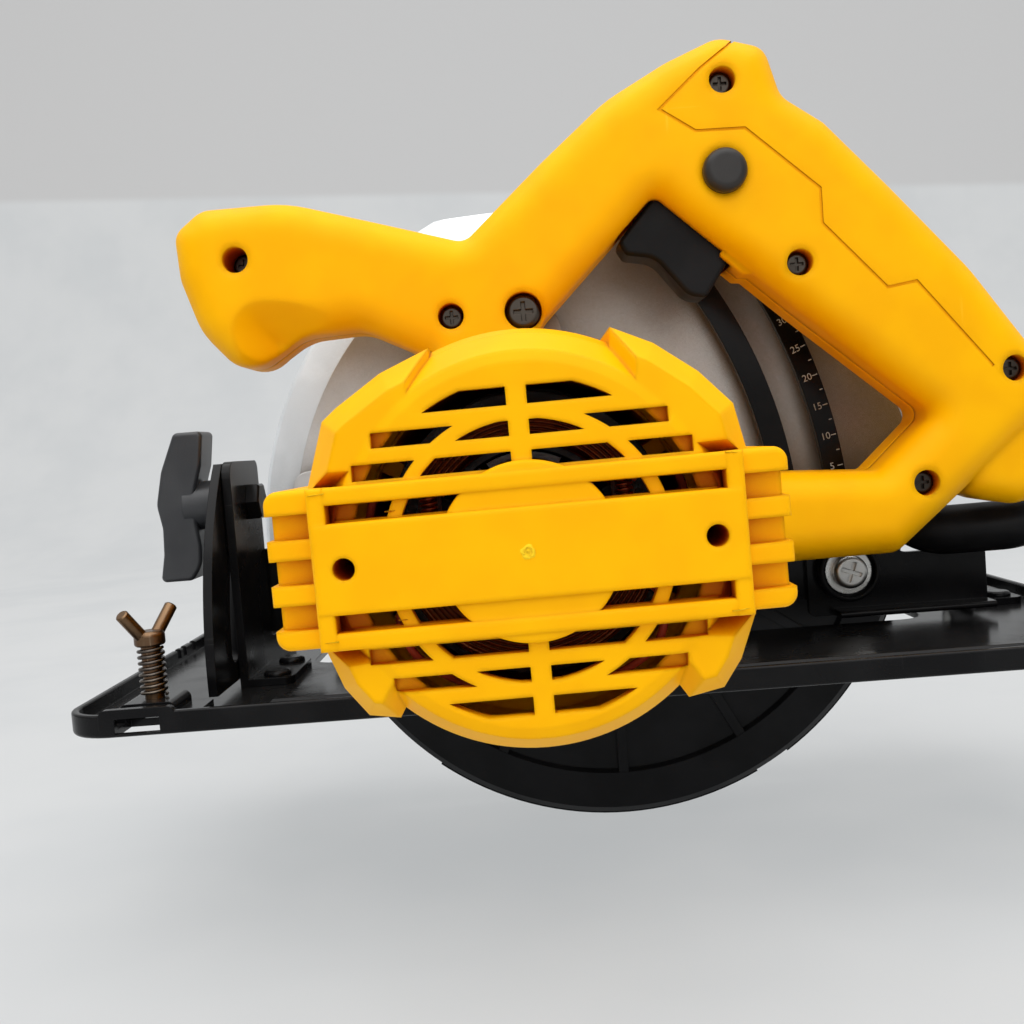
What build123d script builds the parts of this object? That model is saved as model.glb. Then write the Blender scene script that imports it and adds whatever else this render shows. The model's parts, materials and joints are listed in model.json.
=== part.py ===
from build123d import *
import os
from math import acos, atan2, cos, degrees, pi, radians, sin, sqrt, tan

# Handheld circular saw, millimetres.  +Z is up, -X is the front (the cutting direction), and the
# motor points to -Y.  The origin lies on the sole, under the blade's axis, in the handle's mid plane.

# ---- fits shared by all pieces
run_fit = 0.05            # radial clearance of a shaft in its bore
gap = 0.3                 # space between pieces of different bodies
seat = 0.1                # space between a piece and its pocket in the same body
overlap = 0.5             # how far a feature is sunk into the wall that carries it
press_fit = 0.02          # radial room of a piece that is pressed or clamped on its seat

# ---- blade and its drive
blade_r, blade_t, kerf = 92.5, 1.6, 2.4
tooth_count = 24
blade_y = 50.0
arbor_z = 39.0
arbor_r = 8.0
gear_teeth, pinion_teeth = 38, 9
gear_y0, gear_y1 = 21.0, 28.0

# ---- gear case and guards
case_y0, case_y1 = 14.0, 34.0
lower_r = blade_r + 5.0               # outside of the lower guard
lower_wall = 2.0
lower_y0, lower_y1 = 37.4, 62.4
hub_r = 21.0
guard_r = lower_r + 15.5              # outside of the upper guard
guard_wall = 2.6
guard_y1 = 66.0
guard_bottom_z = 34.0

# ---- base
base_front, base_rear = -148.0, 140.0
base_near, base_far = -50.0, 92.0
base_corner = 13.0
sheet = 2.0                           # base sheet thickness
lip_h = 6.0
slot_half_length = lower_r - 0.5
slot_near, slot_far = 21.5, 69.0
bracket_sheet = 2.5

# ---- motor
housing_r = 41.5
housing_wall = 2.6
motor_x, motor_z = -25.0, housing_r + sheet + 0.5
stator_r, stator_bore = 34.5, 20.6
stator_y0, stator_y1 = -54.0, -10.0
core_r = 20.0
shaft_r = 4.0
commutator_r = 12.5
commutator_y0, commutator_y1 = -84.0, -67.0
fan_r = 33.0
fan_y0, fan_y1 = -2.0, 8.0

# ---- end cap
cap_r = housing_r + 3.9
cap_rise = 1.0                        # the cap's shell stands this much higher than the motor shaft
cap_turn = 0.8                        # lean of the cap's strap and louvres, in degrees
cap_wall = 3.0
cap_y0, cap_y1 = -100.0, -57.0
strap_y = -103.0
lug_half_width, lug_half_height = housing_r + 12.5, 16.6
cap_screw_r = housing_r - 3.9         # from the motor shaft to each screw of the cap

# ---- tilt and depth linkage
tilt_y, tilt_z = 50.0, 9.0            # bevel axis, along X
tilt_eye_r = 6.5
tilt_pin_r = 3.0
bevel_bolt_y, bevel_bolt_z = 12.0, 55.0
bevel_bolt_r = 3.0
quadrant_r = 80.0
bracket_x1 = -109.3                   # rear face of the bevel bracket
depth_x, depth_z = -95.0, 30.0        # depth axis, along Y
depth_pin_r = 4.0
guide_in, guide_out = 148.6, 171.8    # inner and outer radius of the depth guide
guide_r, guide_slot = 160.6, 9.4      # its slot: middle radius and width
guide_y0, guide_t = 26.0, 3.0
depth_bolt_angle = 3.0
depth_travel = 34.0
depth_bolt_r = 3.0
rear_ear_x = 117.0

# ---- handle
handle_half = 17.0
handle_wall = 3.0
handle_round, loop_round = 9.0, 8.0   # rounding of the outer edge and of the finger loop
handle_screw_r = 1.9
lock_x, lock_z, lock_r = 35.5, 135.5, 6.0


# ---- helpers: every one takes plain numbers in the saw's own frame

def block(x0, x1, y0, y1, z0, z1):
    return Pos((x0 + x1) / 2, (y0 + y1) / 2, (z0 + z1) / 2) * Box(x1 - x0, y1 - y0, z1 - z0)


def rod_x(y, z, r, x0, x1):
    return Pos((x0 + x1) / 2, y, z) * Rot(0, 90, 0) * Cylinder(r, x1 - x0)


def rod_y(x, z, r, y0, y1):
    return Pos(x, (y0 + y1) / 2, z) * Rot(90, 0, 0) * Cylinder(r, y1 - y0)


def rod_z(x, y, r, z0, z1):
    return Pos(x, y, (z0 + z1) / 2) * Cylinder(r, z1 - z0)


def tube_y(x, z, r_out, r_in, y0, y1):
    return rod_y(x, z, r_out, y0, y1) - rod_y(x, z, r_in, y0 - 1, y1 + 1)


def plate_y(sketch, y0, y1):
    """The sketch's own axes are the saw's X and Z."""
    return extrude(Plane.XZ.offset(-y0) * sketch, amount=-(y1 - y0))


def plate_x(sketch, x0, x1):
    """The sketch's own axes are the saw's Y and Z."""
    return extrude(Plane.YZ.offset(x0) * sketch, amount=x1 - x0)


def plate_z(sketch, z0, z1):
    return Pos(0, 0, z0) * extrude(sketch, amount=z1 - z0)


def outline(points, radius=0.0):
    """A closed face through the points, with every corner rounded to the radius or its own radius."""
    if isinstance(radius, (int, float)) and radius == 0:
        return make_face(Polyline(*points, close=True))
    return make_face(FilletPolyline(*points, radius=radius, close=True))


def turned(profile, x, z):
    """A profile of (radius, y) points turned about the line along Y through x, z."""
    return Pos(x, 0, z) * revolve(make_face(Polyline(*profile, close=True)), Axis.Y)


def polar(x, z, r, angle):
    return (x + r * cos(radians(angle)), z + r * sin(radians(angle)))


def sector(x, z, r_in, r_out, a0, a1):
    """The face between two radii and two angles, counted from the sketch's first axis."""
    def bow(r, start, end):
        return ThreePointArc(polar(x, z, r, start), polar(x, z, r, (start + end) / 2), polar(x, z, r, end))
    outer, inner = bow(r_out, a0, a1), bow(r_in, a1, a0)
    return make_face([outer, Line(outer @ 1, inner @ 0), inner, Line(inner @ 1, outer @ 0)])


def curved_slot(x, z, r, half, a0, a1):
    """A slot with round ends along an arc of radius r."""
    slot = sector(x, z, r - half, r + half, a0, a1)
    for a in (a0, a1):
        slot += Pos(*polar(x, z, r, a)) * Circle(half)
    return slot


def slice_of(x, z, r_in, r_out, a0, a1, y0, y1):
    """A sector of a ring about a line along Y."""
    return plate_y(sector(x, z, r_in, r_out, a0, a1), y0, y1)


def bearing(x, z, r_out, r_in, y0, y1):
    """Outer ring, shield and inner ring of a sealed ball bearing, held in its housing."""
    groove = 0.5
    ring = tube_y(x, z, r_out, r_in, y0, y1)
    mid_out, mid_in = r_out - (r_out - r_in) * 0.25, r_in + (r_out - r_in) * 0.25
    return ring - tube_y(x, z, mid_out, mid_in, y0 - 1, y0 + groove) - tube_y(
        x, z, mid_out, mid_in, y1 - groove, y1 + 1)


def coil_spring(radius, wire_r, length, turns):
    """A coil along +Z from the origin, with its wire inside the given length."""
    path = Helix(pitch=(length - 2 * wire_r) / turns, height=length - 2 * wire_r, radius=radius)
    start = Plane(origin=path @ 0, z_dir=path % 0)
    return Pos(0, 0, wire_r) * sweep(start * Circle(wire_r), path=path)


def pan_screw(head_r, head_h, shank_r, length, recess=True):
    """Along +Z: the shank from z = 0 to length, then the head, with a cross recess."""
    head = Pos(0, 0, length) * Cylinder(head_r, head_h, align=(Align.CENTER, Align.CENTER, Align.MIN))
    head = fillet(head.edges().group_by(Axis.Z)[-1], head_h * 0.45)
    shank = Cylinder(shank_r, length, align=(Align.CENTER, Align.CENTER, Align.MIN))
    screw = head + shank
    if recess:
        for turn in (0, 90):
            arm = Box(head_r * 1.1, head_r * 0.24, head_h)
            screw -= Pos(0, 0, length + head_h) * Rot(0, 0, turn) * arm
    return screw


def facing_near(solid, x, y, z):
    """Turns a +Z piece so that its end points to the motor side, and puts its origin at the place."""
    return Pos(x, y, z) * Rot(90, 0, 0) * solid


def near_edge_eased(solid, radius):
    return fillet(solid.edges().group_by(Axis.Y)[0], radius)


def gear_face(teeth, module, backlash, phase):
    """An involute spur gear's outline, with the first tooth's middle at the phase angle."""
    pressure = radians(22.5)
    pitch_r = module * teeth / 2
    base_r = pitch_r * cos(pressure)
    tip_r = pitch_r + 0.92 * module
    root_r = pitch_r - 1.2 * module
    half_at_pitch = pi / (2 * teeth) - backlash / (2 * pitch_r)
    flare = tan(pressure) - pressure
    low_r = max(base_r, root_r)
    flank = []
    for i in range(5):
        r = low_r + (tip_r - low_r) * i / 4
        a = acos(min(1.0, base_r / r))
        flank.append((r, half_at_pitch + flare - (tan(a) - a)))
    points = []
    for tooth in range(teeth):
        middle = radians(phase) + 2 * pi * tooth / teeth
        foot = flank[0][1]
        left = [(root_r, -foot * 1.05)] + [(r, -h) for r, h in flank]
        right = [(r, h) for r, h in reversed(flank)] + [(root_r, foot * 1.05)]
        points += [(r * cos(middle + a), r * sin(middle + a)) for r, a in left + right]
    return make_face(Polyline(*points, close=True))


# ---- sizes that follow from the driving ones

gear_distance = sqrt(motor_x ** 2 + (motor_z - arbor_z) ** 2)
gear_module = 2 * gear_distance / (gear_teeth + pinion_teeth)
gear_line = degrees(atan2(motor_z - arbor_z, motor_x))      # from the spindle to the motor shaft
gear_tip_r = gear_module * (gear_teeth / 2 + 1)
bracket_x0 = bracket_x1 - bracket_sheet
quadrant_x1 = bracket_x0 - gap
quadrant_x0 = quadrant_x1 - bracket_sheet
bolt_radius = sqrt((tilt_y - bevel_bolt_y) ** 2 + (bevel_bolt_z - tilt_z) ** 2)
bolt_angle = degrees(atan2(bevel_bolt_z - tilt_z, tilt_y - bevel_bolt_y))   # above the -Y direction
lock_bolt_x, lock_bolt_z = polar(depth_x, depth_z, guide_r, depth_bolt_angle)
guide_y1 = guide_y0 + guide_t
lug_y0 = guide_y1 + gap + 1.0
flange_y1 = lug_y0 - gap
flange_y0 = flange_y1 - bracket_sheet


# ---- base

slot_x0, slot_x1 = -133.0, -121.5         # rip fence slot, through the base along Y
fence_screw_x, fence_screw_y = (slot_x0 + slot_x1) / 2, -35.0
fence_screw_r = 2.5
bar_h = 2.8                               # height of the fence bar that the slot takes
strap_sheet = 1.6
strap_z = sheet + bar_h + gap             # underside of the strap
rivet_r, rivet_head_r, rivet_head_h = 2.4, 4.0, 1.6
foot_h = 2.2
ear_y0 = tilt_y - tilt_eye_r
rear_ear_x0 = rear_ear_x + gap
rear_ear_x1 = rear_ear_x0 + bracket_sheet
bracket_rivets = [(-102.0, -3.0), (-102.0, 17.0)]
rear_rivets = [(127.0, 40.0), (127.0, 60.0)]
strap_foot_x = (-139.0, -114.0)
slot_floor, hump_z = 0.9, 7.2             # the near lip's slot starts here, and the lip's hump over it
sight_half = 1.8                          # half width of the cutting line's notches


def base_plate():
    length, width = base_rear - base_front, base_far - base_near
    middle = Pos((base_front + base_rear) / 2, (base_near + base_far) / 2)
    plan = middle * RectangleRounded(length, width, base_corner)
    inner = middle * RectangleRounded(length - 2 * sheet, width - 2 * sheet, base_corner - sheet)
    plate = plate_z(plan, 0, lip_h)
    plate = fillet(plate.edges().group_by(Axis.Z)[0], 1.2)
    plate -= plate_z(inner, sheet, lip_h + 1)
    plate = fillet(plate.edges().group_by(Axis.Z)[-1], 0.6)
    plate -= plate_z(Pos(0, (slot_near + slot_far) / 2) * RectangleRounded(
        2 * slot_half_length, slot_far - slot_near, 8), -1, lip_h)
    hump = block(slot_x0 - 4, slot_x1 + 4, base_near, base_near + sheet, sheet, hump_z)
    hump = fillet(hump.edges().filter_by(Axis.Y).group_by(Axis.Z)[-1], 1.9)
    plate += hump
    for y, low_z in ((base_near, slot_floor), (base_far - sheet, sheet)):
        plate -= block(slot_x0, slot_x1, y - 1, y + sheet + 0.2, low_z, sheet + bar_h)
    plate -= block(slot_x0, slot_x1, base_near + sheet, fence_screw_y - fence_screw_r - 1, -1, sheet + 1)
    motor_relief = housing_r * 0.45
    plate -= block(motor_x - motor_relief, motor_x + motor_relief, base_near - 1, base_near + sheet + 0.4,
                   sheet + 0.2, lip_h + 1)
    for y in (blade_y - 6, blade_y, blade_y + 10):
        plate -= block(base_front - 1, base_front + sheet + 0.4,
                       y - sight_half, y + sight_half, 2.8, lip_h + 1)
    for x, y in bracket_rivets + rear_rivets:
        plate -= rod_z(x, y, rivet_r + seat, -1, sheet + 1)
    return plate


def stiffening_beads():
    """Long raised beads on the near side of the plate, broken under the motor, and one on the far side."""
    beads = Part()
    clear_half = housing_r * 0.8
    for y, x0, x1 in ((-30.0, -98.0, motor_x - clear_half), (-30.0, motor_x + clear_half, 128.0),
                      (82.0, -112.0, 108.0)):
        bead = block(x0, x1, y - 3, y + 3, sheet - overlap, sheet + 1.2)
        beads += chamfer(bead.edges().group_by(Axis.Z)[-1], 1.0)
    return beads


def bevel_bracket():
    """The upright on the base that holds the bevel bolt, with the front eye of the bevel axis."""
    eye_z = tilt_z
    web_z = 11.5
    shape = outline([(-8, sheet), (-8, 67.5), (25, 67.5), (25, web_z), (ear_y0, web_z), (ear_y0, sheet)],
                    [0, 5, 3, 1.5, 0, 0])
    shape += Pos(tilt_y, eye_z) * Circle(tilt_eye_r)
    shape += Pos(tilt_y, (eye_z + sheet) / 2) * Rectangle(2 * tilt_eye_r, eye_z - sheet)
    bracket = plate_x(shape, bracket_x0, bracket_x1)
    foot = block(bracket_x0, -96.5, -8, 22, sheet, sheet + foot_h)
    foot = fillet(foot.edges().filter_by(Axis.Z).group_by(Axis.X)[-1], 3)
    bracket += foot
    bracket -= rod_x(bevel_bolt_y, bevel_bolt_z, bevel_bolt_r + seat, bracket_x0 - 1, bracket_x1 + 1)
    bracket -= rod_x(tilt_y, tilt_z, tilt_pin_r + seat, bracket_x0 - 1, bracket_x1 + 1)
    for x, y in bracket_rivets:
        bracket -= rod_z(x, y, rivet_r + seat, 0, sheet + foot_h + 1)
    return bracket


def rear_ear():
    """The base's own eye at the rear end of the bevel axis."""
    shape = Pos(tilt_y, tilt_z) * Circle(tilt_eye_r)
    shape += Pos(tilt_y, (tilt_z + sheet) / 2) * Rectangle(2 * tilt_eye_r, tilt_z - sheet)
    ear = plate_x(shape, rear_ear_x0, rear_ear_x1)
    foot_far = rear_rivets[1][1] + 6
    foot_near = rear_rivets[0][1] - 6
    foot = block(rear_ear_x0, rear_rivets[0][0] + 6, foot_near, foot_far, sheet, sheet + foot_h)
    ear += fillet(foot.edges().filter_by(Axis.Z).group_by(Axis.X)[-1], 3)
    ear -= rod_x(tilt_y, tilt_z, tilt_pin_r + seat, rear_ear_x0 - 1, rear_ear_x1 + 1)
    for x, y in rear_rivets:
        ear -= rod_z(x, y, rivet_r + seat, 0, sheet + foot_h + 1)
    return ear


def rivet(x, y, top):
    on_base = (Align.CENTER, Align.CENTER, Align.MIN)
    head = Pos(x, y, top) * Cylinder(rivet_head_r, rivet_head_h, align=on_base)
    head = fillet(head.edges().group_by(Axis.Z)[-1], rivet_head_h * 0.8)
    return head + rod_z(x, y, rivet_r, 0.2, top)


def base_rivets():
    return [rivet(x, y, sheet + foot_h) for x, y in bracket_rivets + rear_rivets]


def fence_strap():
    """A bridge over the fence bar's channel, tapped for the wing screw."""
    half = 7.0
    y0, y1 = fence_screw_y - half, fence_screw_y + half
    feet = block(strap_foot_x[0], strap_foot_x[1], y0, y1, sheet, sheet + strap_sheet)
    bridge = block(slot_x0 - strap_sheet, slot_x1 + strap_sheet, y0, y1, sheet, strap_z + strap_sheet)
    bridge = fillet(bridge.edges().filter_by(Axis.Y).group_by(Axis.Z)[-1], 1.9)
    strap = feet + bridge - block(slot_x0, slot_x1, y0 - 1, y1 + 1, sheet - 1, strap_z)
    return strap - rod_z(fence_screw_x, fence_screw_y, fence_screw_r + run_fit, 0, strap_z + 5)


wing_z, wing_hub_r, wing_hub_h = 20.6, 4.0, 4.0
wing_r, wing_length, wing_lean, wing_turn = 1.7, 10.5, 40.0, 58.0


def fence_screw():
    """Wing screw: shank, hub and two rod-like wings that spread upwards."""
    screw = rod_z(fence_screw_x, fence_screw_y, fence_screw_r, strap_z - 0.6, wing_z)
    screw = chamfer(screw.edges().group_by(Axis.Z)[0], 0.6)
    hub = rod_z(0, 0, wing_hub_r, wing_z, wing_z + wing_hub_h)
    hub = fillet(hub.edges().group_by(Axis.Z)[-1], 1.4)
    hub = fillet(hub.edges().group_by(Axis.Z)[0], 0.8)
    wing = Cylinder(wing_r, wing_length, align=(Align.CENTER, Align.CENTER, Align.MIN))
    wing = chamfer(wing.edges().group_by(Axis.Z)[-1], 0.35)
    for side in (0, 180):
        hub += Rot(0, 0, side) * Pos(1.4, 0, wing_z + 1.5) * Rot(0, wing_lean, 0) * wing
    return screw + Pos(fence_screw_x, fence_screw_y, 0) * Rot(0, 0, wing_turn) * hub


def fence_spring():
    low = strap_z + strap_sheet + 0.2
    return Pos(fence_screw_x, fence_screw_y, low) * coil_spring(3.15, 0.45, wing_z - 0.2 - low, 8)


# ---- tilting frame

quadrant_top = 67.0
depth_eye_r = 9.0


def tilt_quadrant():
    """Sector plate with the bevel slot; its rear flange carries the depth pin."""
    foot_y = tilt_y - sqrt(quadrant_r ** 2 - (quadrant_top - tilt_z) ** 2)
    low_z = sheet + 2.5
    low_y = tilt_y - sqrt(quadrant_r ** 2 - (tilt_z - low_z) ** 2)
    edge = ThreePointArc((low_y, low_z), polar(tilt_y, tilt_z, quadrant_r, 158), (foot_y, quadrant_top))
    rest = Polyline(edge @ 1, (20, quadrant_top), (31, 38), (36, 20), (tilt_y - 4, tilt_z + 4),
                    (tilt_y - 4, low_z), edge @ 0)
    shape = make_face([edge, rest]) + Pos(tilt_y, tilt_z) * Circle(tilt_eye_r)
    low = 180 - bolt_angle
    shape -= curved_slot(tilt_y, tilt_z, bolt_radius, bevel_bolt_r + 0.25, low - 1.0, low + 46.5)
    plate = plate_x(shape, quadrant_x0, quadrant_x1)
    flange = block(quadrant_x0, depth_x, flange_y0, flange_y1, 12.5, depth_z + depth_eye_r)
    flange += rod_y(depth_x, depth_z, depth_eye_r, flange_y0, flange_y1)
    plate += flange
    plate -= rod_y(depth_x, depth_z, depth_pin_r + press_fit, flange_y0 - 1, flange_y1 + 1)
    plate -= rod_x(tilt_y, tilt_z, tilt_pin_r + run_fit, quadrant_x0 - 1, quadrant_x1 + 1)
    return plate


def depth_pin():
    head = rod_y(depth_x, depth_z, 6.5, flange_y0 - 2.5, flange_y0)
    head = fillet(head.edges().group_by(Axis.Y)[0], 1.4)
    return head + rod_y(depth_x, depth_z, depth_pin_r, flange_y0, case_y1 + guard_wall - 0.4)


guide_low, guide_high = -7.4, 46.0
wall_y0, wall_y1 = guide_y0 - bracket_sheet, guide_y0
wall_x0, wall_x1 = 61.0, rear_ear_x
wall_z1 = 22.8
guide_screw_x, guide_screw_z, guide_screw_r = 73.2, 18.6, 2.5


def depth_guide():
    """Slotted arc about the depth axis; the saw body's clamp bolt runs in its slot."""
    arc = slice_of(depth_x, depth_z, guide_in, guide_out, guide_low, guide_high, guide_y0, guide_y1)
    slot_a0, slot_a1 = depth_bolt_angle - 1.2, depth_bolt_angle + depth_travel + 1.2
    arc -= plate_y(curved_slot(depth_x, depth_z, guide_r, guide_slot / 2, slot_a0, slot_a1),
                   guide_y0 - 1, guide_y1 + 1)
    return arc - rod_y(guide_screw_x, guide_screw_z, guide_screw_r + seat, guide_y0 - 1, guide_y1 + 1)


def rear_bracket():
    """Bent sheet: a wall behind the arc's foot, a stiffening foot, and the rear eye of the bevel axis."""
    low_z = sheet + 2.5
    wall = plate_y(outline([(wall_x0, low_z), (wall_x0, wall_z1 + 3.4), (84, wall_z1 + 3.4), (92, wall_z1),
                            (wall_x1, wall_z1), (wall_x1, low_z)], [2, 4, 5, 5, 2, 0]), wall_y0, wall_y1)
    foot = block(wall_x0 + 8, wall_x1, wall_y0 - 7, wall_y1, low_z, low_z + 2)
    foot = fillet(foot.edges().filter_by(Axis.X).group_by(Axis.Y)[0], 0.9)
    ear = outline([(wall_y0, low_z), (wall_y0, wall_z1), (38, 17.5),
                   (tilt_y, tilt_z + tilt_eye_r - 1), (tilt_y, low_z)], [0, 2, 6, 0, 0])
    ear = plate_x(ear + Pos(tilt_y, tilt_z) * Circle(tilt_eye_r), wall_x1 - bracket_sheet, wall_x1)
    bracket = wall + foot + ear
    bracket -= rod_x(tilt_y, tilt_z, tilt_pin_r + run_fit, wall_x1 - 5, wall_x1 + 1)
    return bracket - rod_y(guide_screw_x, guide_screw_z, guide_screw_r + seat, wall_y0 - 1, wall_y1 + 1)


cup_t = 1.4


def guide_cup():
    cup = rod_y(guide_screw_x, guide_screw_z, 9.5, wall_y0 - 5, wall_y0)
    cup = fillet(cup.edges().group_by(Axis.Y)[0], 1.0)
    cup -= rod_y(guide_screw_x, guide_screw_z, 9.5 - cup_t, wall_y0 - 6, wall_y0 - cup_t)
    return cup - rod_y(guide_screw_x, guide_screw_z, guide_screw_r + seat, wall_y0 - 6, wall_y0 + 1)


def guide_screw():
    """Flanged screw through the cup, the wall and the arc, with its nut behind the arc."""
    x, z = guide_screw_x, guide_screw_z
    seat_y = wall_y0 - cup_t
    screw = rod_y(x, z, 7.2, seat_y - 1.4, seat_y) + rod_y(x, z, guide_screw_r, seat_y - 1, guide_y1 + 4.4)
    head = rod_y(x, z, 5.2, seat_y - 5.2, seat_y - 1.4)
    head = fillet(head.edges().group_by(Axis.Y)[0], 1.5)
    screw += head
    for turn in (20, 110):
        screw -= Pos(x, seat_y - 5.2, z) * Rot(0, turn, 0) * Box(6.4, 2.6, 1.2)
    return screw


def guide_nut():
    nut = plate_y(Pos(guide_screw_x, guide_screw_z) * RegularPolygon(4.6, 6), guide_y1, guide_y1 + 3.6)
    return nut - rod_y(guide_screw_x, guide_screw_z, guide_screw_r + press_fit, guide_y1 - 1, guide_y1 + 5)


def bevel_pins():
    """One pin at each end of the bevel axis, riveted into the base's own eyes."""
    pins = []
    for x0, x1, head_x in ((quadrant_x0 - 0.6, bracket_x1 + 0.6, bracket_x1),
                           (wall_x1 - bracket_sheet - 0.6, rear_ear_x1 + 0.6, rear_ear_x1)):
        pin = rod_x(tilt_y, tilt_z, tilt_pin_r, x0, x1)
        pins.append(pin + rod_x(tilt_y, tilt_z, tilt_pin_r + 1.6, head_x, head_x + 1.6))
    return pins


# ---- bevel bolt and knob

knob_x1 = quadrant_x0 - gap
bolt_in_knob, knob_neck = 16.1, 4.1
knob_wing_half = 6.5
wing_points = [(-14.1, 22.3), (-5.3, 22.3), (-6.7, 12), (-9.3, 4), (-9.5, -5), (-8.7, -12), (-9.1, -18),
               (-12.3, -22.2), (-21.9, -22.2), (-20.3, -14), (-19.9, -6), (-21.1, 1), (-18.9, 11)]
wing_radii = [2, 1.5, 8, 8, 8, 6, 8, 2, 1.5, 8, 8, 8, 12]


def bevel_bolt():
    """Carriage bolt: hexagon head behind the bracket, shank through the slot to the knob."""
    head = plate_x(Pos(bevel_bolt_y, bevel_bolt_z) * RegularPolygon(6.0, 6), bracket_x1, bracket_x1 + 4)
    head = chamfer(head.edges().group_by(Axis.X)[-1], 0.6)
    return head + rod_x(bevel_bolt_y, bevel_bolt_z, bevel_bolt_r, knob_x1 - bolt_in_knob, bracket_x1)


def bevel_knob():
    """Wing knob: two wings that lean apart, on a collar with a blind bore for the bolt."""
    y, z = bevel_bolt_y, bevel_bolt_z
    wings = plate_y(outline(wing_points, wing_radii), y - knob_wing_half, y + knob_wing_half)
    wings = Pos(knob_x1, 0, z) * wings
    ends = wings.edges().group_by(Axis.Y)
    wings = fillet(ends[0] + ends[-1], 1.2)
    collar = rod_x(y, z, 7.4, knob_x1 - 13.1, knob_x1 - knob_neck)
    collar += rod_x(y, z, 5.6, knob_x1 - knob_neck, knob_x1)
    return wings + collar - rod_x(y, z, bevel_bolt_r + run_fit, knob_x1 - bolt_in_knob - 0.4, knob_x1 + 1)


# ---- gear case, spindle and blade

cavity_y0, cavity_y1 = 19.5, 30.0
motor_bearing = (11.0, shaft_r + run_fit, 11.0, 18.0)        # outer radius, inner radius, y from, y to
cap_bearing = (11.0, shaft_r + run_fit, -97.0, -90.0)
spindle_tail_r, spindle_neck_r = 4.0, 7.5
tail_bearing = (9.5, spindle_tail_r + run_fit, 14.5, 19.5)
nose_bearing = (16.0, spindle_neck_r + run_fit, 31.5, 40.5)
nose_end = 42.0
spindle_collar_y, flange_seat_y = 41.5, 44.0
flange_r = 18.0
blade_y0, blade_y1 = blade_y - blade_t / 2, blade_y + blade_t / 2
blade_bolt_r, outer_flange_t = 4.0, 3.0
case_screws = [(-53.0, 60.0), (-41.0, 24.0), (-14.0, 77.0)]
case_screw_r = 1.9
guard_hole_r = 30.0
chute_x, chute_z, chute_r = 93.0, 43.0, 7.5
handle_lug_x, handle_lug_z = -22.0, 102.5


def case_outline():
    """A lobe round the motor, a lobe round the arbor and the web between them."""
    web = outline([(motor_x - 4, motor_z + housing_r), (20, arbor_z + 26), (16, arbor_z - 28),
                   (motor_x, motor_z - housing_r + 0.5)])
    return Pos(motor_x, motor_z) * Circle(housing_r) + Pos(0, arbor_z) * Circle(33) + web


def gear_case():
    """Aluminium case between the motor and the guard, with both bearings and the nose of the guard."""
    handle_lug = outline([(-42, 76), (-34, 108), (-12, 108), (-6, 78)], [0, 8, 8, 0])
    case = plate_y(case_outline(), case_y0, case_y1)
    case += plate_y(handle_lug, handle_half + gap, case_y1)
    case += rod_y(0, arbor_z, hub_r, case_y1 - 1, nose_end)
    case += rod_y(motor_x, motor_z, 15, case_y0 - 5, case_y0 + 1)
    case -= rod_y(0, arbor_z, gear_tip_r + 1.5, cavity_y0, cavity_y1)
    case -= rod_y(motor_x, motor_z, 10, cavity_y0 - 2, cavity_y1)
    for x, z, (r_out, r_in, y0, y1) in ((motor_x, motor_z, motor_bearing), (0, arbor_z, tail_bearing),
                                        (0, arbor_z, nose_bearing)):
        case -= rod_y(x, z, r_out, y0, y1)
    case -= rod_y(motor_x, motor_z, 8, case_y0 - 6, cavity_y0)
    case -= rod_y(0, arbor_z, 12, cavity_y1 - 1, nose_end + 1)
    for x, z in case_screws:
        case -= rod_y(x, z, case_screw_r + seat, case_y1 - 12, case_y1 + 1)
    return case - rod_y(handle_lug_x, handle_lug_z, 2.6, handle_half, case_y1 + 1)


def spindle():
    """Stepped spindle: tail, gear seat, neck in the nose bearing, then the nose that carries the blade."""
    tail_y, gear_seat_y, bore_y = 14.7, gear_y0 - 0.8, 30.0
    profile = [(0, tail_y), (spindle_tail_r, tail_y), (spindle_tail_r, gear_seat_y), (arbor_r, gear_seat_y),
               (arbor_r, gear_y1 + 2.6), (spindle_neck_r, gear_y1 + 2.6), (spindle_neck_r, spindle_collar_y),
               (10.0, spindle_collar_y), (10.0, flange_seat_y), (arbor_r, flange_seat_y),
               (arbor_r, blade_y1 - 0.4), (blade_bolt_r, blade_y1 - 0.4), (blade_bolt_r, bore_y), (0, bore_y)]
    return turned(profile, 0, arbor_z)


def drive_gear():
    face = Rot(0, 0, gear_line) * gear_face(gear_teeth, gear_module, 0.16, 180.0 / gear_teeth)
    gear = plate_y(Pos(0, arbor_z) * face, gear_y0, gear_y1)
    for i in range(6):
        x, z = polar(0, arbor_z, 14.0, 60 * i)
        gear -= rod_y(x, z, 2.4, gear_y0 - 1, gear_y1 + 1)
    return gear - rod_y(0, arbor_z, arbor_r + press_fit, gear_y0 - 1, gear_y1 + 1)


def inner_flange():
    bore, waist, relief = arbor_r + press_fit, 13.0, 15.0
    return turned([(bore, flange_seat_y), (waist, flange_seat_y), (waist, blade_y0 - 2.7),
                   (flange_r, blade_y0 - 1.7), (flange_r, blade_y0), (relief, blade_y0),
                   (relief, blade_y0 - 0.4), (bore, blade_y0 - 0.4)], 0, arbor_z)


def outer_flange():
    bore, top_y = blade_bolt_r + gap, blade_y1 + outer_flange_t
    return turned([(bore, blade_y1), (flange_r, blade_y1), (flange_r, blade_y1 + 1.6),
                   (13.0, top_y), (bore, top_y)], 0, arbor_z)


def blade_bolt():
    low = blade_y1 + outer_flange_t
    bolt = rod_y(0, arbor_z, blade_bolt_r - press_fit, 31.0, low) + rod_y(0, arbor_z, 8.5, low, low + 1.4)
    head = plate_y(Pos(0, arbor_z) * RegularPolygon(7.4, 6), low + 1.4, low + 6.2)
    return bolt + chamfer(head.edges().group_by(Axis.Y)[-1], 0.7)


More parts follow.
